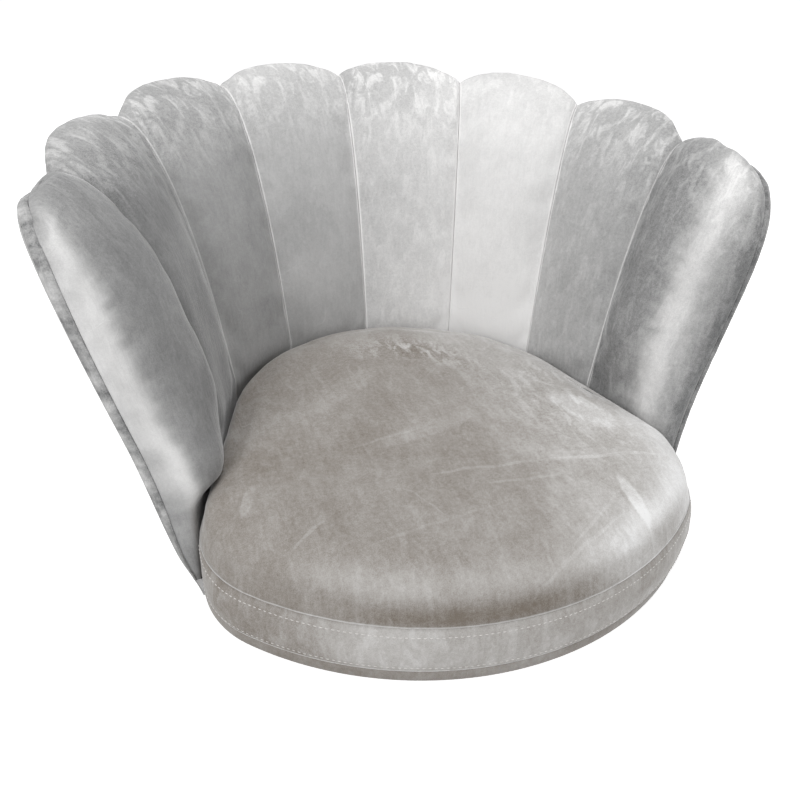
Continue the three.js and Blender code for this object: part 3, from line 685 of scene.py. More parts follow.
def velvet(name, dark, light, seed=0.0, relief=1.0, pile=1.0, marks=()):
    """Brushed velvet between a dark and a light colour, by the way its nap lies.

    The mesh gives the broad run of the nap together with painted light and shade, and noise the handled
    patches, streaks, pressed lines and single fibres on it. Along a seam, a painted highlight shows a light
    line.
    """
    nodes = Nodes(bpy.data.materials.new(name))
    place = nodes.place()
    flat = nodes.add("ShaderNodeUVMap", uv_map="nap").outputs["UV"]
    tone, crush, seam = (
        nodes.add("ShaderNodeAttribute", attribute_name=key).outputs["Fac"] for key in NAP_AND_LIGHT_DEFAULTS
    )
    moved = nodes.scaled(place, (1, 1, 1), location=(seed, seed * 0.7, seed * 1.3))
    patch = nodes.noise(moved, 12.0, 3.0, 0.5, 0.3)
    mottle = nodes.noise(moved, 55.0, 4.0, 0.6, 0.4)
    streak = nodes.noise(nodes.scaled(flat, (240, 40, 1), location=(seed, 0, 0)), 1.0, 3.0, 0.6, 0.3)
    fibres = nodes.noise(place, 900.0, 3.0, 0.75)
    grain = nodes.noise(moved, 210.0, 3.0, 0.7, 0.2)
    swept = nodes.scaled(flat, (62, 26, 1), location=(seed, seed, 0), rotation=(0, 0, 0.35))
    blotch = nodes.between(nodes.noise(swept, 1.0, 4.0, 0.6, 0.8), 0.44, 0.66, -0.3, 0.7)
    ridge = nodes.math("ABSOLUTE", nodes.centred(nodes.noise(moved, 10.0, 2.0, 0.5, 0.9)))
    line = nodes.between(ridge, 0.0, 0.007, 1.0, 0.0)
    line = nodes.math("MULTIPLY", line, nodes.between(nodes.noise(moved, 6.0, 1.0, 0.5), 0.54, 0.64))
    # The tone from the mesh holds the nap together with painted light and shade
    lightness = tone
    for value, share in ((patch, 0.26), (mottle, 0.13), (streak, 0.11)):
        lightness = nodes.added(lightness, nodes.centred(value), share)
    rough = nodes.between(crush, 0.0, 1.0, 0.75, 2.0)
    for value, share in ((grain, 0.2 * pile), (fibres, 0.36 * pile)):
        lightness = nodes.added(lightness, nodes.math("MULTIPLY", nodes.centred(value), share), rough)
    lightness = nodes.added(lightness, nodes.math("MULTIPLY", blotch, crush), CRUSHED_GAIN)
    lightness = nodes.added(lightness, line, LINE_GAIN)
    if marks:
        bent = nodes.add("ShaderNodeTexNoise", {"Vector": place, "Scale": 26.0, "Detail": 3.0})
        bent = nodes.vector("SUBTRACT", {0: bent.outputs["Color"], 1: (0.5, 0.5, 0.5)})
        bent = nodes.vector("SCALE", {0: bent, "Scale": MARK_BEND})
        bent = nodes.vector("ADD", {0: flat, 1: bent})
        for mark in marks:
            lightness = nodes.math("ADD", lightness, mark_factor(nodes, bent, mark))
    # Painted highlight: a light line along each seam, where the pile's rounded edge catches the light
    seam_highlight = nodes.between(seam, *SEAM_HIGHLIGHT_RISE)
    seam_highlight = nodes.math("MULTIPLY", seam_highlight, nodes.between(seam, *SEAM_HIGHLIGHT_FALL, 1.0, 0.0))
    lightness = nodes.added(lightness, seam_highlight, SEAM_HIGHLIGHT_GAIN, clamp=True)
    nodes.set(Base_Color=nodes.mix(lightness, dark, light), Roughness=nodes.between(lightness, 0, 1, 0.95, 0.7))
    nodes.set(Specular_IOR_Level=0.2, Sheen_Weight=0.7, Sheen_Roughness=0.3, Sheen_Tint=(1, 1, 1, 1))
    normal = None
    for height, strength, distance in (
        (mottle, 0.2 * relief, 0.002),
        (grain, 0.12 * relief, 0.001),
        (nodes.math("ADD", patch, streak), 0.2 * relief, 0.003),
        (line, 0.25, 0.0008),
        (fibres, 0.4, 0.0003),
    ):
        normal = nodes.bump(height, strength, distance, normal)
    nodes.set(Normal=normal)
    return nodes.owner


def simple(name, colour, roughness, metallic=0.0, grain=None, bump=0.2):
    """A plain stuff with mottled colour and a fine bumpy surface; grain stretches its pattern."""
    nodes = Nodes(bpy.data.materials.new(name))
    place = nodes.place()
    pattern = nodes.noise(nodes.scaled(place, grain or (60, 60, 60)), 1.0, 5.0, 0.6, 0.5)
    low = tuple(c * 0.72 for c in colour) + (1,)
    high = tuple(min(1, c * 1.12) for c in colour) + (1,)
    nodes.set(Base_Color=nodes.mix(nodes.between(pattern, 0.3, 0.7), low, high))
    nodes.set(Roughness=nodes.between(pattern, 0.2, 0.8, roughness * 0.85, min(1, roughness * 1.1)))
    nodes.set(Metallic=metallic)
    nodes.set(Normal=nodes.bump(nodes.noise(place, 900.0, 2.0), bump, 0.0003))
    return nodes.owner


# Cloth simulation of stuffed velvet

CLOTH_FRAMES = 20
CLOTH_PRESSURE = 4.0
CLOTH_CAP = 7.0
CLOTH_QUALITY = 6


def grid_faces(rows, columns, wrap):
    index = np.arange(rows * columns).reshape(rows, columns)
    if wrap:
        index = np.concatenate((index, index[:, :1]), axis=1)
    corners = (index[:-1, :-1], index[:-1, 1:], index[1:, 1:], index[1:, :-1])
    return np.stack(corners, axis=-1).reshape(-1, 4).tolist()


def stuffed(grid, pinned, slack, wrap=False):
    """How far each point of a grid of velvet moves when it is filled, sewn down where it is pinned.

    The cloth is a little larger than the shape that it starts from, so it puckers along its seams.
    """
    rows, columns = grid.shape[:2]
    mesh = bpy.data.meshes.new("cloth")
    mesh.from_pydata((grid.reshape(-1, 3) * MM).tolist(), [], grid_faces(rows, columns, wrap))
    piece = bpy.data.objects.new("cloth", mesh)
    bpy.context.scene.collection.objects.link(piece)
    seams = piece.vertex_groups.new(name="seams")
    seams.add(np.flatnonzero(pinned.ravel()).tolist(), 1.0, "REPLACE")
    cloth = piece.modifiers.new("cloth", "CLOTH")
    cloth.settings.vertex_group_mass = "seams"
    cloth.settings.use_pressure = True
    cloth.settings.uniform_pressure_force = CLOTH_PRESSURE
    cloth.settings.shrink_min = -slack
    cloth.settings.shrink_max = -slack
    cloth.settings.effector_weights.gravity = 0
    cloth.settings.quality = CLOTH_QUALITY
    cloth.point_cache.frame_start = 1
    cloth.point_cache.frame_end = CLOTH_FRAMES
    for frame in range(1, CLOTH_FRAMES + 1):
        bpy.context.scene.frame_set(frame)
    settled = piece.evaluated_get(bpy.context.evaluated_depsgraph_get()).data
    points = np.empty(rows * columns * 3)
    settled.vertices.foreach_get("co", points)
    moved = points.reshape(rows, columns, 3) / MM - grid
    bpy.data.objects.remove(piece)
    bpy.data.meshes.remove(mesh)
    bpy.context.scene.frame_set(1)
    reach = np.linalg.norm(moved, axis=-1, keepdims=True)
    return moved * (CLOTH_CAP * np.tanh(reach / CLOTH_CAP) / np.maximum(reach, 1e-6))


def spread(moved, from_rows, from_columns, rows, columns):
    """Movements of a coarse grid, taken over by a finer one by their shares along it."""
    def counted(shares, given):
        return np.clip(np.interp(shares, given, np.arange(len(given))), 0, len(given) - 1 - TINY)

    row, column = counted(rows, from_rows), counted(columns, from_columns)
    r, c = row.astype(int), column.astype(int)
    dr, dc = (row - r)[..., None], (column - c)[..., None]
    upper = moved[r, c] * (1 - dc) + moved[r, c + 1] * dc
    lower = moved[r + 1, c] * (1 - dc) + moved[r + 1, c + 1] * dc
    return upper * (1 - dr) + lower * dr


def evened(moved, times):
    """The movements averaged with their neighbours, apart from those at the first and last row and column."""
    moved = moved.copy()
    for _ in range(times):
        moved[1:-1] = (moved[:-2] + 2 * moved[1:-1] + moved[2:]) / 4
        moved[:, 1:-1] = (moved[:, :-2] + 2 * moved[:, 1:-1] + moved[:, 2:]) / 4
    return moved


# Pads of the tub

DARK_NAP = grey(0.13, -0.012)
LIGHT_NAP = grey(0.84, 0.006)
back_velvet = velvet("velvet_back", DARK_NAP, LIGHT_NAP, seed=1.7)

# How light each pad is, partly by its nap and partly painted light and shade of the way it faces the lamps:
# at its left, in its middle and at its right, what its foot and its top add to that (on the tops partly a
# painted sheen), and how crushed its top is
PAD_TONES = {
    -4: (0.26, 0.18, 0.12, 0.0, 0.05, 0.3),
    -3: (0.14, 0.17, 0.16, 0.0, 0.24, 1.4),
    -2: (0.31, 0.31, 0.32, 0.06, 0.16, 1.8),
    -1: (0.45, 0.47, 0.50, 0.04, 0.20, 1.4),
    0: (0.62, 0.70, 0.84, 0.17, -0.06, 1.7),
    1: (0.90, 0.90, 0.88, 0.15, -0.12, 0.5),
    2: (0.55, 0.44, 0.35, 0.03, 0.08, 1.5),
    3: (0.14, 0.25, 0.30, 0.02, 0.16, 0.7),
}

# How crushed the body of a pad is, where that is more than a little
BODY_CRUSH = {-4: 0.15, -3: 0.1, -2: 0.1, -1: 0.2, 0: 0.6, 2: 0.5, 3: 0.6}

# Broad painted highlights of the velvet's sheen that run up an arm pad: where across it, how wide and how
# much lighter
ARM_HIGHLIGHT_BANDS = {-4: (0.05, 0.085, 0.56), 3: (0.69, 0.14, 0.56)}
LEFT_HIGHLIGHT_NARROWING = 0.62

# How far the painted highlight line along a seam is kept off a pad's left edge, and off the free edge of an
# arm
SEAM_HIGHLIGHT_OFF_LEFT = 0.4
SEAM_HIGHLIGHT_OFF_FREE = 9

# Heights and feature sizes of the unevenness of stuffed velvet, and how far puckers reach from a seam and
# folds from the rim
PAD_SWELLS = ((1.1, 85), (0.5, 38))
PUCKER_HEIGHT = 0.75
PUCKER_SIZE = (34, 8)
PUCKER_REACH = 13
FOLD_HEIGHT = 0.7
FOLD_SIZE = (9, 40)
FOLD_REACH = 20


def pad_nap_and_light(k, face, u, v):
    left, middle, right, foot, top, crush = PAD_TONES[k]
    across = np.where(u < 0.5, lerp(left, middle, smooth(0, 0.5, u)), lerp(middle, right, smooth(0.5, 1, u)))
    tone = across + top * smooth(0.62, 0.95, v) + foot * smooth(0.5, 0.0, v)
    # Painted highlight: a broad band of sheen up the arm pad
    if k in ARM_HIGHLIGHT_BANDS:
        place, width, gain = ARM_HIGHLIGHT_BANDS[k]
        free = u if k < 0 else 1 - u
        drift = 0.02 * np.sin(v * 5 + k) + 0.012 * noise(np.stack((u * 3, v * 30), axis=-1), 1, 31 + k)
        bristles = 1 + 0.35 * noise(np.stack((u * 4 + v * 9, v * 44), axis=-1), 1, 57 + k)
        broad = width * np.where((u > place) == (k < 0), bristles, 1)
        if k < 0:
            broad = broad * lerp(LEFT_HIGHLIGHT_NARROWING, 1, smooth(-0.2, 0.55, v))
        tone = tone + gain * bell(u, place + drift, broad) * smooth(-0.9, 0.2, v) * smooth(1.02, 0.82, v)
        # Painted shade: each arm pad darker towards its free edge, most on the right arm
        tone = tone - (0.05 if k < 0 else 0.2) * smooth(0.09, 0.0, free)
    width = steps_along(face, 1).sum(axis=1)[:, None]
    left_seam = u * width + (SEAM_HIGHLIGHT_OFF_FREE if k == -ARM_INDEX else SEAM_HIGHLIGHT_OFF_LEFT)
    right_seam = (1 - u) * width + (SEAM_HIGHLIGHT_OFF_FREE if k == ARM_INDEX - 1 else 0)
    seam = np.minimum(right_seam, left_seam) * MM
    crush = crush * smooth(0.55, 0.95, v) + BODY_CRUSH.get(k, 0.2)
    return {"nap_tone": tone, "nap_crush": crush, "seam_distance": seam}


def wrinkled(k, grid, u, v, seed):
    """The grid with the unevenness of stuffed velvet: low swells, puckers at seams, folds at the rim."""
    width = steps_along(grid, 1).sum(axis=1)[:, None]
    up = np.concatenate((np.zeros((1, grid.shape[1])), np.cumsum(steps_along(grid, 0), axis=0)))
    rim = up[np.argmin(np.abs(v[:, 0] - 1))][None, :]
    from_seam = np.minimum(u, 1 - u) * width
    from_rim = np.abs(rim - up)
    flat = np.stack((u * width, up), axis=-1)
    swell = swells(grid, PAD_SWELLS, (seed, seed + 1))
    puckers = noise(flat / PUCKER_SIZE, 1, seed + 2) * np.exp(-from_seam / PUCKER_REACH) * PUCKER_HEIGHT
    puckers *= 0.4 + 0.6 * smooth(-0.3, 0.6, noise(flat, 90, seed + 5))
    folds = noise(flat / FOLD_SIZE, 1, seed + 3) * np.exp(-from_rim / FOLD_REACH) * FOLD_HEIGHT
    inside = smooth(0, 7, from_seam) * smooth(-0.9, -0.2, v)
    offset = swell * inside + (puckers + folds) * smooth(0, 1.5, from_seam) * smooth(-0.2, 0.2, v)
    return grid + normals_of(grid) * offset[..., None]


# The part of a pad that is stuffed as cloth: from just below its foot up, in a grid of rows and columns
CLOTH_LOW = -0.1
CLOTH_ROWS = 62
CLOTH_COLUMNS = 26
PAD_SLACK = 0.03
BACK_TOP = 0.97


def pad_grids(k):
    columns = crowded(46)
    edge = GAP / 2 / np.linalg.norm(inner_seam(k + 1, np.array(0.0)) - inner_seam(k, np.array(0.0)))
    columns = lerp(edge, 1 - edge, columns)
    rising = 1 - (1 - np.linspace(0, 1, 86)) ** 1.7
    rows = np.concatenate((np.linspace(-1, 0, 12, endpoint=False), rising, (1.25, 1.5, 1.75, 2)))
    u, v = np.meshgrid(columns, rows)
    up = np.minimum(v, 1)

    def cover(depth):
        point = pad_layer(k, u, up, puff(k, u, up) - depth)
        point += level_inward(k, u) * np.where(v >= 1, depth, 0)[..., None]
        point[..., 2] -= np.maximum(v - 1, 0) * (RIM_LAP - depth)
        point[v == -1, 2] = BOARD_TOP + GAP
        return point

    from_rows = np.linspace(CLOTH_LOW, 1, CLOTH_ROWS)
    from_columns = np.linspace(0, 1, CLOTH_COLUMNS)
    column, row = np.meshgrid(from_columns, from_rows)
    pinned = (column == 0) | (column == 1) | (row == CLOTH_LOW) | (row == 1)
    loose = pad_layer(k, column, row, puff(k, column, row))
    moved = stuffed(loose, pinned, PAD_SLACK)
    face = cover(0) + evened(spread(moved, from_rows, from_columns, v, u), 2) * (v <= 1)[..., None]
    face = wrinkled(k, face, u, v, seed=11 + 7 * (k + 5))
    back_rows = np.minimum(up, BACK_TOP)
    back = pad_layer(k, u, back_rows, -SKIN - foam_depth(k, u, back_rows))
    back[v == -1, 2] = BOARD_TOP + GAP
    lap = cover(FABRIC)
    near_rim = smooth(0.93, 0.985, up)[..., None]
    back = back * (1 - near_rim) + lap * near_rim
    return face, back, pad_nap_and_light(k, face, u, v)


for k in PETAL_NUMBERS:
    number = k + ARM_INDEX + 1
    face, back, nap = pad_grids(k)
    pad = sheet_object(f"pad_{number}", face, back, back_velvet, nap)
    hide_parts(f"petal_cover_{number}", f"petal_foam_{number}")


# Outside panels

PANEL_SWELLS = ((0.7, 70), (0.3, 26))
PANEL_EDGE_GAP = 0.0008
outer_velvet = velvet("velvet_outside", DARK_NAP, LIGHT_NAP, seed=6.1)


def panel_grids(k):
    columns = lerp(PANEL_EDGE_GAP, 1 - PANEL_EDGE_GAP, crowded(34))
    rows = np.concatenate(((-1, -0.5), 0.5 * (1 - np.cos(np.linspace(0, math.pi, 60)))))
    u, w = np.meshgrid(columns, rows)
    up = np.maximum(w, 0)

    def at(depth):
        point = outer_layer(k, u, up, np.full_like(u, depth))
        hem = outer_layer(k, u, np.zeros_like(u), np.zeros_like(u))
        turned = np.where(w < 0, HEM_WIDTH * np.maximum(-w, 0), depth)
        hem = hem + level_inward(k, u) * turned[..., None]
        hem[..., 2] = HEM_BOTTOM + depth
        return np.where((w > 0)[..., None], point, hem)

    return at(0), at(FABRIC), u, w


for k in PETAL_NUMBERS:
    number = k + ARM_INDEX + 1
    face, back, u, w = panel_grids(k)
    offset = swells(face, PANEL_SWELLS, (40 + k, 60 + k)) * smooth(0, 0.12, w)
    offset *= smooth(0, 0.1, np.minimum(u, 1 - u)) * smooth(0, 0.1, 1 - w)
    shift = normals_of(face[:, ::-1])[:, ::-1] * offset[..., None]
    panel = sheet_object(f"outside_{number}", (face + shift)[:, ::-1], (back + shift)[:, ::-1], outer_velvet)
    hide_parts(f"outer_panel_{number}")


# Boxing along the front edge of each arm and over its top, to the first seam

BOXING_ROWS = 150
TOP_ROWS = 60
TOP_DROP = 5.5
FOOT_STAND_OUT = 1.9
FOOT_INSET = 1.2
TURN_ROWS = 14
TURN_SMOOTHING = 40
TOP_STAND_OUT = 1.9
CRINKLE_HEIGHT = {-1: 0.9, 1: 0.3}
# The share of its lightness that the right boxing keeps, a painted shade along the right arm's shaded edge
RIGHT_BOXING_SHADE_SHARE = 0.4


def edge_lines(side, v):
    """The two long edges of the boxing up the arm: beside the outside panel, and beside the pad."""
    t = arm_share(v)
    inward = arm_inward(side, t)
    return arm_edge(side, t) + inward * SKIN, arm_edge(side, t) + inward * (arm_width(t) - GAP)[:, None]


def top_lines(side, share):
    """The same two edges over the top of the arm, a share of the way to the first seam."""
    k = ARM_INDEX - 1 if side > 0 else -ARM_INDEX
    u = share if side < 0 else 1 - share
    at_rim = np.ones_like(u)
    low = outer_layer(k, u, at_rim, SKIN * smooth(0.3, 0, share))
    high = pad_layer(k, u, at_rim, np.full_like(u, -GAP))
    high[:, 2] -= TOP_DROP * smooth(0, 0.6, share)
    return low, high


def boxing_grids(side):
    c = crowded(12)
    v = np.linspace(-1, 1, BOXING_ROWS)
    share = crowded(TOP_ROWS - 1)[1:]
    low, high = (np.concatenate(pair) for pair in zip(edge_lines(side, v), top_lines(side, share)))
    for line in (low, high):
        for _ in range(TURN_SMOOTHING):
            near = slice(BOXING_ROWS - TURN_ROWS, BOXING_ROWS + TURN_ROWS)
            before = slice(near.start - 1, near.stop - 1)
            after = slice(near.start + 1, near.stop + 1)
            line[near] = (line[before] + 2 * line[near] + line[after]) / 4
    base = low[:, None] * (1 - c)[:, None] + high[:, None] * c[:, None]
    normals = normals_of(base) * -side
    length = lengths_along((low + high) / 2)[:, None] + 0 * c
    arch = rounded(2 * c - 1, 2)
    rising = np.concatenate((v, np.ones_like(share)))[:, None]
    narrowing = smooth(0, 0.85, np.concatenate((0 * v, share)))[:, None]
    across = np.stack((c * 6 + 0 * length, length), axis=-1)
    crinkle = noise(across / (9, 7), 1, 77 + side) + 0.6 * noise(across / (5, 3.4), 1, 91 + side)
    crinkle = crinkle * smooth(-0.6, 0, rising) * (1 - 0.7 * narrowing)
    height = BOXING_STAND_OUT * (0.8 + 0.4 * arch) * (1 - narrowing) + TOP_STAND_OUT * narrowing
    height = height * (1 - 0.6 * smooth(0.75, 1, c) * (1 - narrowing))
    height = height + CRINKLE_HEIGHT[side] * crinkle * arch
    face = base + normals * height[..., None]
    back = base + normals * (height - FABRIC)[..., None]
    # Lighter where the crinkles stand out and along the middle of the crest; the right boxing keeps only a
    # share of that, a painted shade
    lightness = 0.24 + 0.2 * crinkle + 0.12 * arch * (1 - narrowing)
    if side < 0:
        return face, back, {"nap_tone": lightness, "nap_crush": np.ones_like(height)}
    lightness = RIGHT_BOXING_SHADE_SHARE * lightness
    return face[:, ::-1], back[:, ::-1], {"nap_tone": lightness[:, ::-1], "nap_crush": np.ones_like(height)}


def foot_grids(side):
    """The end of the boxing below the pad's foot: across to the board, then along its side to the strip."""
    c = np.linspace(0, 1, 7)[:, None]
    edge = arm_edge(side, np.linspace(0.002, ARM_AT_BOARD * 0.99, 12))
    corner = edge.copy()
    corner[:, 0] = side * (BACK_RADIUS - FOOT_INSET)
    low = lerp(edge, corner, np.minimum(SKIN / np.abs(edge - corner)[:, :1], 0.45))
    end = corner.copy()
    end[:, 1] = ARM_FOOT[1] - GAP
    across = low[:, None] * (1 - c) + corner[:, None] * c
    along = corner[:, None] * (1 - c) + end[:, None] * c
    base = np.concatenate((across, along[:, 1:]), axis=1)
    normals = normals_of(base) * -side
    face, back = base + normals * FOOT_STAND_OUT, base + normals * (FOOT_STAND_OUT - FABRIC)
    return (face, back) if side < 0 else (face[:, ::-1], back[:, ::-1])


boxing_velvet = velvet("velvet_boxing", DARK_NAP, LIGHT_NAP, seed=9.3, relief=2.0)
for side, word in ((-1, "left"), (1, "right")):
    face, back, nap = boxing_grids(side)
    boxing = sheet_object(f"boxing_{word}", face, back, boxing_velvet, nap)
    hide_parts(f"arm_boxing_{word}")
    face, back = foot_grids(side)
    foot = sheet_object(f"boxing_foot_{word}", face, back, boxing_velvet)


# Seat

SEAM = SEAM_HEIGHT + GAP / 2
SEAT_FLOOR = BOARD_TOP + GAP
SEAT_STEPS = SEAT_EDGE.shape[0]
FRONT_SHARE = smooth(FRONT_START, FRONT_FULL, -SEAT_EDGE[:, 1])
CROWN_RUN = lerp(CROWN_RUN_SIDE, CROWN_RUN_FRONT, FRONT_SHARE)
BORDER_SWELL = BORDER_SWELL_FRONT * FRONT_SHARE
SEAT_AROUND = lengths_along(SEAT_EDGE)


def ring(inset, height):
    """One ring round the seat's outline, moved in towards the middle."""
    share = np.broadcast_to(inset, (SEAT_STEPS,)) / SEAT_CENTRE_INSET
    moved = lerp(SEAT_EDGE, np.array((0, SEAT_CENTRE_Y)), share[:, None])
    return np.column_stack((moved, np.broadcast_to(height, (SEAT_STEPS,))))


def ring_index(count):
    """The numbers of the points of that many rings, and of the next point round each ring."""
    index = np.arange(count * SEAT_STEPS).reshape(count, SEAT_STEPS)
    return index, np.roll(index, -1, axis=1)


def unrolled(up):
    """Flat places on velvet that goes round the seat, from how far up or in each point lies."""
    return np.stack((np.broadcast_to(SEAT_AROUND, up.shape), up), axis=-1)


# How the seat's top is stuffed and how uneven it is, and where it is fuller behind
SEAT_SLACK = 0.006
SEAT_CLOTH_STEP = 7
SEAT_CLOTH_REACH = 9
SEAT_SWELLS = ((1.6, 110), (0.6, 45))
SEAT_PUCKER_HEIGHT = 0.8
SEAT_PUCKER_SIZE = (10, 46)
SEAT_PUCKER_REACH = 16
SEAT_SWELL_ACROSS = (-70, 190)
SEAT_SWELL_END_Y = 190


def crown_rings():
    """Rings of the seat's top, from the seam in to the middle."""
    rings = [ring(1.5, SEAM - 0.2), ring(0.5, SEAM + 0.9)]
    for share in np.sin(np.linspace(0.02, 1, 26) * math.pi / 2) ** 2:
        height = SEAM + 1.5 + (CROWN_RISE - 1.5) * (1 - (1 - share) ** 3) ** (1 / 3)
        rings.append(ring(CROWN_RUN * share, height))
    for share in np.linspace(0, 1, 40)[1:-1]:
        inset = lerp(CROWN_RUN, SEAT_CENTRE_INSET, share)
        rings.append(ring(inset, SEAM + CROWN_RISE + DOME_RISE * smooth(0, 0.9, share)))
    return np.array(rings)


def seat_filling(rings):
    """How far the seat's top moves when it is stuffed, found on rings that lie well apart."""
    chosen = [0]
    for index in range(1, len(rings)):
        step = np.linalg.norm(rings[index] - rings[chosen[-1]], axis=-1).mean()
        if step > SEAT_CLOTH_STEP:
            chosen.append(index)
    pinned = np.zeros((len(chosen), SEAT_STEPS), bool)
    pinned[0] = True
    moved = stuffed(rings[chosen], pinned, SEAT_SLACK, wrap=True)
    inward = np.concatenate(((0,), np.cumsum(steps_along(rings, 0).mean(axis=1))))
    weights = np.exp(-((inward[:, None] - inward[chosen]) / SEAT_CLOTH_REACH) ** 2)
    weights /= weights.sum(axis=1, keepdims=True)
    filled = np.einsum("rc,cpa->rpa", weights, moved)
    for _ in range(4):
        filled = (np.roll(filled, 1, axis=1) + 2 * filled + np.roll(filled, -1, axis=1)) / 4
    return filled * smooth(0, SEAT_CLOTH_STEP, inward)[:, None, None]


def seat_top():
    rings = crown_rings()
    rings = rings + seat_filling(rings)
    normals = normals_of(rings)
    edge = np.linalg.norm(rings[:, :, :2] - SEAT_EDGE[None], axis=-1)
    swell = swells(rings[..., :2], SEAT_SWELLS, (5, 6))
    puckers = SEAT_PUCKER_HEIGHT * noise(unrolled(edge) / SEAT_PUCKER_SIZE, 1, 7)
    puckers = puckers * np.exp(-edge / SEAT_PUCKER_REACH)
    behind = SEAT_SWELL * smooth(0, SEAT_SWELL_END_Y, rings[..., 1]) * bell(rings[..., 0], *SEAT_SWELL_ACROSS)
    behind = behind * smooth(0, 30, edge)
    offset = swell * smooth(4, 45, edge) + puckers * smooth(0, 3, edge) + behind
    return rings + normals * offset[..., None]


# Marks of hands and folds on the seat: their place in plan, the way they run in degrees, half their
# length and width, and how much lighter the nap lies there
SEAT_MARKS = (
    (208, -86, -67, 70, 30, 0.2),
    (165, 18, -60, 40, 18, 0.1),
    (176, -270, -87, 44, 10, 0.25),
    (150, -330, 20, 60, 12, 0.12),
    (31, -183, -2, 90, 3.5, 0.08),
    (184, -195, -7, 90, 4.5, 0.1),
    (150, -185, -4, 70, 14, 0.06),
    (84, -325, 26, 105, 2.5, 0.07),
    (120, -290, 35, 80, 2.5, 0.06),
    (-16, -90, 15, 90, 18, 0.07),
    (-70, -96, 12, 60, 3, 0.05),
    (-60, -262, 10, 120, 2.5, 0.05),
    (60, -215, -3, 60, 3, 0.07),
    (-90, 40, 40, 70, 24, 0.05),
    (-252, -166, 70, 30, 8, 0.09),
    (-200, -240, 35, 30, 3, 0.08),
    (-60, -228, -62, 34, 1.6, 0.08),
)
WARM_DARK = grey(0.152, 0.17)
WARM_LIGHT = grey(0.80, 0.0)
seat_velvet = velvet("velvet_seat", WARM_DARK, WARM_LIGHT, seed=3.3, pile=1.3, marks=SEAT_MARKS)


# The velvet is most crushed along a curve near the seat's back
CRUSH_CENTRE = (-20, 10)
CRUSH_RADIUS = 134

# Height and breadth of the painted highlight on the front of the seat's roll, and of the painted shade below
# it
ROLL_HIGHLIGHT = (113, 11)
ROLL_SHADE = (86, 11)


def seat_nap_and_light(points):
    """The seat lighter to the right, partly by its nap and partly a painted highlight, a painted highlight on
    the front of the roll and painted shade below it.
    """
    x, y, z = np.moveaxis(points, -1, 0)
    front = smooth(-180, -300, y)
    tone = 0.19 + 0.2 * smooth(20, 150, x) + 0.1 * smooth(150, 260, x) - 0.02 * smooth(-150, -240, x)
    tone = tone + 0.06 * smooth(100, 200, y) * smooth(-150, -50, x)
    # Painted highlight on the front of the roll, strongest to the right, and painted shade below it at the
    # front
    roll = bell(z, *ROLL_HIGHLIGHT) * front
    tone = tone + 0.16 * roll * smooth(-260, -150, x) + 0.32 * roll * smooth(40, 180, x)
    tone = tone - 0.17 * bell(z, *ROLL_SHADE) * front * smooth(120, 20, x) * smooth(-210, -120, x)
    # Painted highlight of the sheen on the seat's right shoulder
    tone = tone + 0.3 * smooth(215, 285, x) * smooth(-60, -130, y)
    from_curve = np.hypot(x - CRUSH_CENTRE[0], y - CRUSH_CENTRE[1]) - CRUSH_RADIUS
    bearing = np.degrees(np.arctan2(y - CRUSH_CENTRE[1], x - CRUSH_CENTRE[0]))
    crush = 0.32 + 0.25 * smooth(20, 150, x) + 2.4 * bell(from_curve, 0, 24) * bell(bearing, 62, 30)
    crush = crush + 0.9 * bell(x, 195, 60) * bell(y, -60, 90)
    return {"nap_tone": tone, "nap_crush": crush, "seam_distance": np.maximum(z - SEAM, 0) * MM * 1.2}


def closed_rings(name, rings, top, bottom, material, nap_and_light_at):
    """A closed piece of rings, with a point at the middle of its top and of its underside."""
    count = len(rings)
    points = np.concatenate((rings.reshape(-1, 3), (top, bottom)))
    index, after = ring_index(count)
    sides = np.stack((index[1:], after[1:], after[:-1], index[:-1]), axis=-1).reshape(-1, 4)
    cap = [[first, second, count * SEAT_STEPS] for first, second in zip(index[0], after[0])]
    floor = [[second, first, count * SEAT_STEPS + 1] for first, second in zip(index[-1], after[-1])]
    piece = make_object(name, points, sides.tolist() + cap + floor, material, nap_and_light_at(points))
    lay_nap(piece, points[:, :2])
    return piece


top_rings = seat_top()[::-1]
CUSHION_INSET = SKIN + 0.4
below = np.array([
    ring(SKIN + 1, SEAM - 4),
    ring(CUSHION_INSET - BORDER_SWELL * 0.6, 48),
    ring(CUSHION_INSET, SEAT_FLOOR),
])
middle = top_rings[0].mean(axis=0)
underside = (0, SEAT_CENTRE_Y, SEAT_FLOOR)
cushion_rings = np.concatenate((top_rings, below))
cushion = closed_rings("seat_cushion", cushion_rings, middle, underside, seat_velvet, seat_nap_and_light)
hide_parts("seat_cover", "seat_wadding", "seat_foam")


def ring_sheet(name, face_rings, back_rings, material, nap):
    """A closed band round the seat between two stacks of rings, the face listed from its foot up."""
    rings = np.concatenate((face_rings, back_rings[::-1]))
    index, after = ring_index(len(rings))
    above, above_after = np.roll(index, -1, axis=0), np.roll(after, -1, axis=0)
    faces = np.stack((index, after, above_after, above), axis=-1).reshape(-1, 4).tolist()
    piece = make_object(name, rings.reshape(-1, 3), faces, material, nap)
    lay_nap(piece, unrolled(rings[..., 2]).reshape(-1, 2))
    return piece


BAND_ROWS = 22


def border_inset(share):
    fall = (share - SWELL_PEAK_SHARE) / (1 - SWELL_PEAK_SHARE)
    return -BORDER_SWELL * (1 - fall ** 2)


def border_rings(depth):
    rings = []
    for share in np.linspace(0, 1, BAND_ROWS):
        height = lerp(SEAT_FLOOR, SEAM_HEIGHT - GAP / 2, share)
        tuck = 1.3 * math.exp(-((1 - share) * 14) ** 2) + 0.7 * math.exp(-(share * 14) ** 2)
        rings.append(ring(border_inset(share) + tuck + depth, height))
    return np.array(rings)


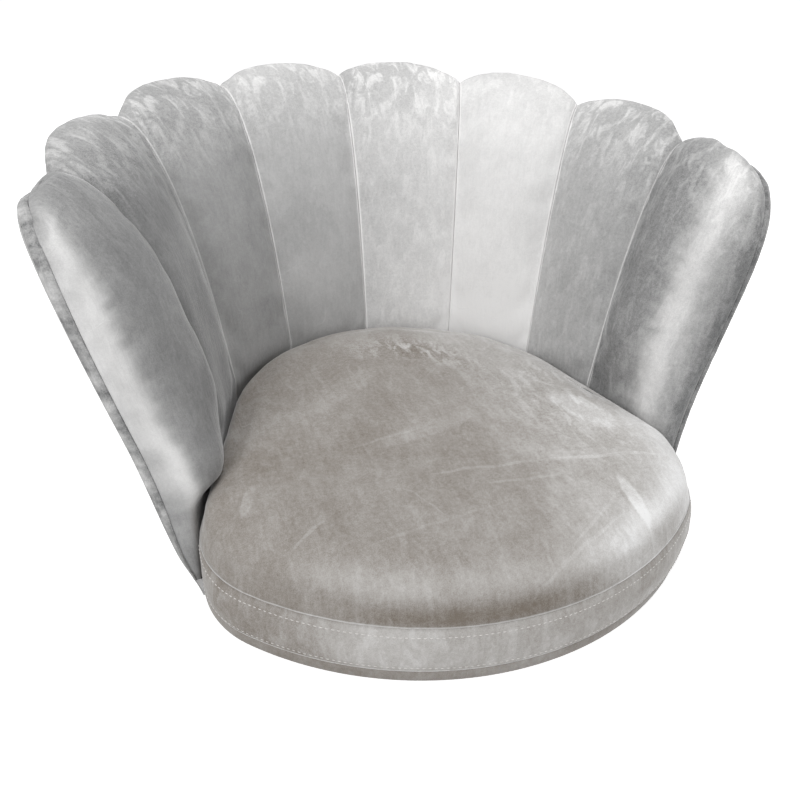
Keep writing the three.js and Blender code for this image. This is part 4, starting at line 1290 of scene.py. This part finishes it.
face = border_rings(0)
lift = 0.7 * noise(face, 60, 21) + 0.5 * noise(unrolled(face[..., 2]) / (26, 9), 1, 22)
lift *= np.sin(np.linspace(0, math.pi, BAND_ROWS))[:, None]
shift = normals_of(face) * lift[..., None]
band_velvet = velvet("velvet_band", WARM_DARK, WARM_LIGHT, seed=4.9)
bearing = np.degrees(np.arctan2(face[..., 0], FRONT_CENTRE_Y - face[..., 1]))
lightness = 0.34 - 0.2 * bell(bearing, -46, 16) + 0.16 * bell(bearing, -20, 13) + 0.3 * smooth(38, 66, bearing)
lightness = lightness - 0.08 * smooth(30, 22, face[..., 2]) - 0.05 * smooth(22, 23, bearing)
band_face = face + shift
band_nap = {"nap_tone": lightness, "nap_crush": np.full_like(lightness, 0.6)}
band = ring_sheet("band", band_face, border_rings(FABRIC) + shift, band_velvet, band_nap)
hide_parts("seat_band")


# Stitches round the seat's front: one row under the seam, and one above the board

STITCH_LENGTH = 4.2
STITCH_PITCH = 6.3
THREAD_RADIUS = 0.42
STITCH_END_Y = -150
STITCH_SIDES = 6
STITCH_ARCH = (-0.45, 0.0, 0.12, 0.0, -0.45)
STITCH_TAPER = (0.4, 0.9, 1, 0.9, 0.4)
STITCH_LIFT = 0.1
STITCH_HEIGHTS = {"stitches_upper": 67.5, "stitches_lower": 25.5}


def stitch_path(height):
    """The line round the band at about that height, on the surface of the velvet."""
    row = (height - SEAT_FLOOR) / (SEAM_HEIGHT - GAP / 2 - SEAT_FLOOR) * (len(band_face) - 1)
    low = int(row)
    return lerp(band_face[low], band_face[low + 1], row - low)


def stitches(name, height, material):
    """A row of short raised stitches, each a capsule of thread that dips into the cloth at its ends."""
    path = stitch_path(height)
    path = np.concatenate((path, path[:1]))
    lengths = lengths_along(path)
    points, faces = [], []
    angles = np.arange(STITCH_SIDES) * 2 * math.pi / STITCH_SIDES
    radii = THREAD_RADIUS * np.array(STITCH_TAPER)
    up = np.array((0, 0, 1))
    for start in np.arange(0, lengths[-1] - STITCH_PITCH, STITCH_PITCH):
        along = start + np.linspace(0, STITCH_LENGTH, len(STITCH_ARCH))
        line = np.column_stack([np.interp(along, lengths, path[:, axis]) for axis in range(3)])
        if line[0, 1] > STITCH_END_Y:
            continue
        run = unit(line[-1] - line[0])
        out = np.cross(run, up)
        line = line + np.outer(np.array(STITCH_ARCH) + STITCH_LIFT, out)
        first = len(points)
        for centre, radius in zip(line, radii):
            for angle in angles:
                points.append(centre + radius * (math.cos(angle) * out + math.sin(angle) * up))
        for step in range(len(line) - 1):
            for side in range(STITCH_SIDES):
                low = first + step * STITCH_SIDES
                a, b = low + side, low + (side + 1) % STITCH_SIDES
                faces.append([a, b, b + STITCH_SIDES, a + STITCH_SIDES])
        faces.append([first + side for side in reversed(range(STITCH_SIDES))])
        last = len(points) - STITCH_SIDES
        faces.append([last + side for side in range(STITCH_SIDES)])
    return make_object(name, points, faces, material)


def thread_material():
    nodes = Nodes(bpy.data.materials.new("thread"))
    twist = nodes.noise(nodes.place(), 700.0, 2.0, 0.6)
    nodes.set(Base_Color=nodes.mix(twist, grey(0.5, 0.03), grey(0.86, 0.02)))
    nodes.set(Roughness=nodes.between(twist, 0, 1, 0.45, 0.7), Normal=nodes.bump(twist, 0.4, 0.0003))
    return nodes.owner


thread = thread_material()
for name, height in STITCH_HEIGHTS.items():
    row = stitches(name, height, thread)


# Strip round the board's front edge

def strip_grids():
    turn = math.asin((ARM_FOOT[1] - 2 * GAP - CORNER_CENTRE[1]) / CORNER_RADIUS)
    end = arc_points(CORNER_CENTRE, CORNER_RADIUS, turn, turn, 1)
    half = np.concatenate((front_and_corner(0, turn, 40), end))
    path = np.concatenate(((half * (-1, 1))[::-1][:-1], half))
    along = unit(np.gradient(path, axis=0))

    def at(inset, height):
        x = path[:, 0] - along[:, 1] * inset
        y = path[:, 1] + along[:, 0] * inset
        return np.column_stack((x, y, np.full(len(path), height)))

    face = [at(HEM_WIDTH, HEM_BOTTOM), at(FABRIC, HEM_BOTTOM), at(0.4, HEM_BOTTOM + 0.5)]
    lap = HEM_BOTTOM + FABRIC
    inner = [at(HEM_WIDTH, lap), at(FABRIC * 1.6, lap), at(FABRIC * 1.2, HEM_BOTTOM + FABRIC * 1.3)]
    for share in np.linspace(0, 1, 9):
        height = lerp(lap, BOARD_TOP, share)
        bulge = -0.5 * math.sin(math.pi * share) + 0.8 * share ** 8
        face.append(at(bulge, height))
        inner.append(at(bulge + FABRIC, max(height, HEM_BOTTOM + FABRIC * 1.4)))
    return np.array(face), np.array(inner)


face, back = strip_grids()
strip = sheet_object("strip", face, back, band_velvet, {"nap_tone": np.full(face.shape[:2], 0.2)})
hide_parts("front_strip")


# Materials of the frame

plywood = simple("plywood", (0.56, 0.38, 0.2), 0.7, grain=(6, 60, 260))
FRAME_STUFFS = {
    "base_board": plywood,
    "back_rib": plywood,
    "rim_hoop": simple("steel", (0.3, 0.31, 0.33), 0.45, 1.0),
    "leg_insert": simple("zinc", (0.62, 0.63, 0.65), 0.3, 1.0),
    "back_webbing": simple("webbing", (0.09, 0.065, 0.05), 0.9, grain=(900, 900, 240)),
    "dust_cover": simple("lining", (0.012, 0.012, 0.014), 0.95, grain=(500, 500, 500), bump=0.6),
}
for name, node in frame["nodes"].items():
    for start, material in FRAME_STUFFS.items():
        if name.startswith(start):
            node.data.materials.clear()
            node.data.materials.append(material)


# Floor, light and camera

FLOOR_RADIUS = 40
FLOOR_GLOW = 0.64
WORLD_LIGHT = 0.42


def floor_material():
    nodes = Nodes(bpy.data.materials.new("floor"))
    nodes.set(Base_Color=(0.86, 0.86, 0.86, 1), Roughness=0.9, Specular_IOR_Level=0.1)
    seen = nodes.add("ShaderNodeLightPath").outputs["Is Camera Ray"]
    nodes.set(Emission_Color=(1, 1, 1, 1), Emission_Strength=nodes.math("MULTIPLY", seen, FLOOR_GLOW))
    return nodes.owner


bpy.ops.mesh.primitive_circle_add(vertices=96, radius=FLOOR_RADIUS, fill_type="NGON", location=(0, 0, 0))
floor = bpy.context.object
floor.name = "floor"
floor.data.materials.append(floor_material())


def area_light(name, place, target_height, size, power):
    lamp = bpy.data.lights.new(name, "AREA")
    lamp.shape = "DISK"
    lamp.size = size
    lamp.energy = power
    holder = bpy.data.objects.new(name, lamp)
    holder.location = place
    aim = Vector((0, 0, target_height)) - Vector(place)
    holder.rotation_euler = aim.to_track_quat("-Z", "Y").to_euler()
    bpy.context.scene.collection.objects.link(holder)


# Each light's name, place, height of its target, size in metres and power in watts
for light in (
    ("key", (-2.2, -2.0, 2.3), 0.25, 1.8, 62),
    ("fill", (2.4, -1.2, 1.5), 0.25, 2.0, 16),
    ("top", (0.2, 0.8, 2.8), 0.2, 2.2, 34),
):
    area_light(*light)

# The world shows as white, and lights the chair less than that
world = bpy.data.worlds.new("studio")
bpy.context.scene.world = world
nodes = Nodes(world, "Background")
rays = nodes.add("ShaderNodeLightPath").outputs
seen = rays["Is Camera Ray"]
for ray in ("Is Glossy Ray", "Is Transmission Ray"):
    seen = nodes.math("MAXIMUM", seen, rays[ray])
nodes.set(Color=(1, 1, 1, 1), Strength=nodes.between(seen, 0, 1, WORLD_LIGHT, 1.0))

CAMERA_AZIMUTH = math.radians(-17.75)
CAMERA_ELEVATION = math.radians(30.4)
CAMERA_ROLL = math.radians(1.72)
CAMERA_DISTANCE = 1.1464
CAMERA_TARGET = Vector((0, 0.0861, 0.0822))
IMAGE_SIDE = 800
FOCAL_PIXELS = 760.2
MIDDLE_X = 397.5
MIDDLE_Y = 396.2
SENSOR_WIDTH = 36

lens = bpy.data.cameras.new("camera")
camera = bpy.data.objects.new("camera", lens)
back_vector = Vector((
    math.sin(CAMERA_AZIMUTH) * math.cos(CAMERA_ELEVATION),
    -math.cos(CAMERA_AZIMUTH) * math.cos(CAMERA_ELEVATION),
    math.sin(CAMERA_ELEVATION),
))
turn = (-back_vector).to_track_quat("-Z", "Y").to_matrix().to_4x4() @ Matrix.Rotation(CAMERA_ROLL, 4, "Z")
camera.matrix_world = Matrix.Translation(CAMERA_TARGET + back_vector * CAMERA_DISTANCE) @ turn
lens.sensor_width = SENSOR_WIDTH
lens.lens = SENSOR_WIDTH * FOCAL_PIXELS / IMAGE_SIDE
lens.shift_x = (IMAGE_SIDE / 2 - MIDDLE_X) / IMAGE_SIDE
lens.shift_y = (MIDDLE_Y - IMAGE_SIDE / 2) / IMAGE_SIDE
lens.clip_start = 0.05
lens.clip_end = 50
bpy.context.scene.collection.objects.link(camera)
bpy.context.scene.camera = camera
bpy.context.scene.view_settings.view_transform = "Standard"
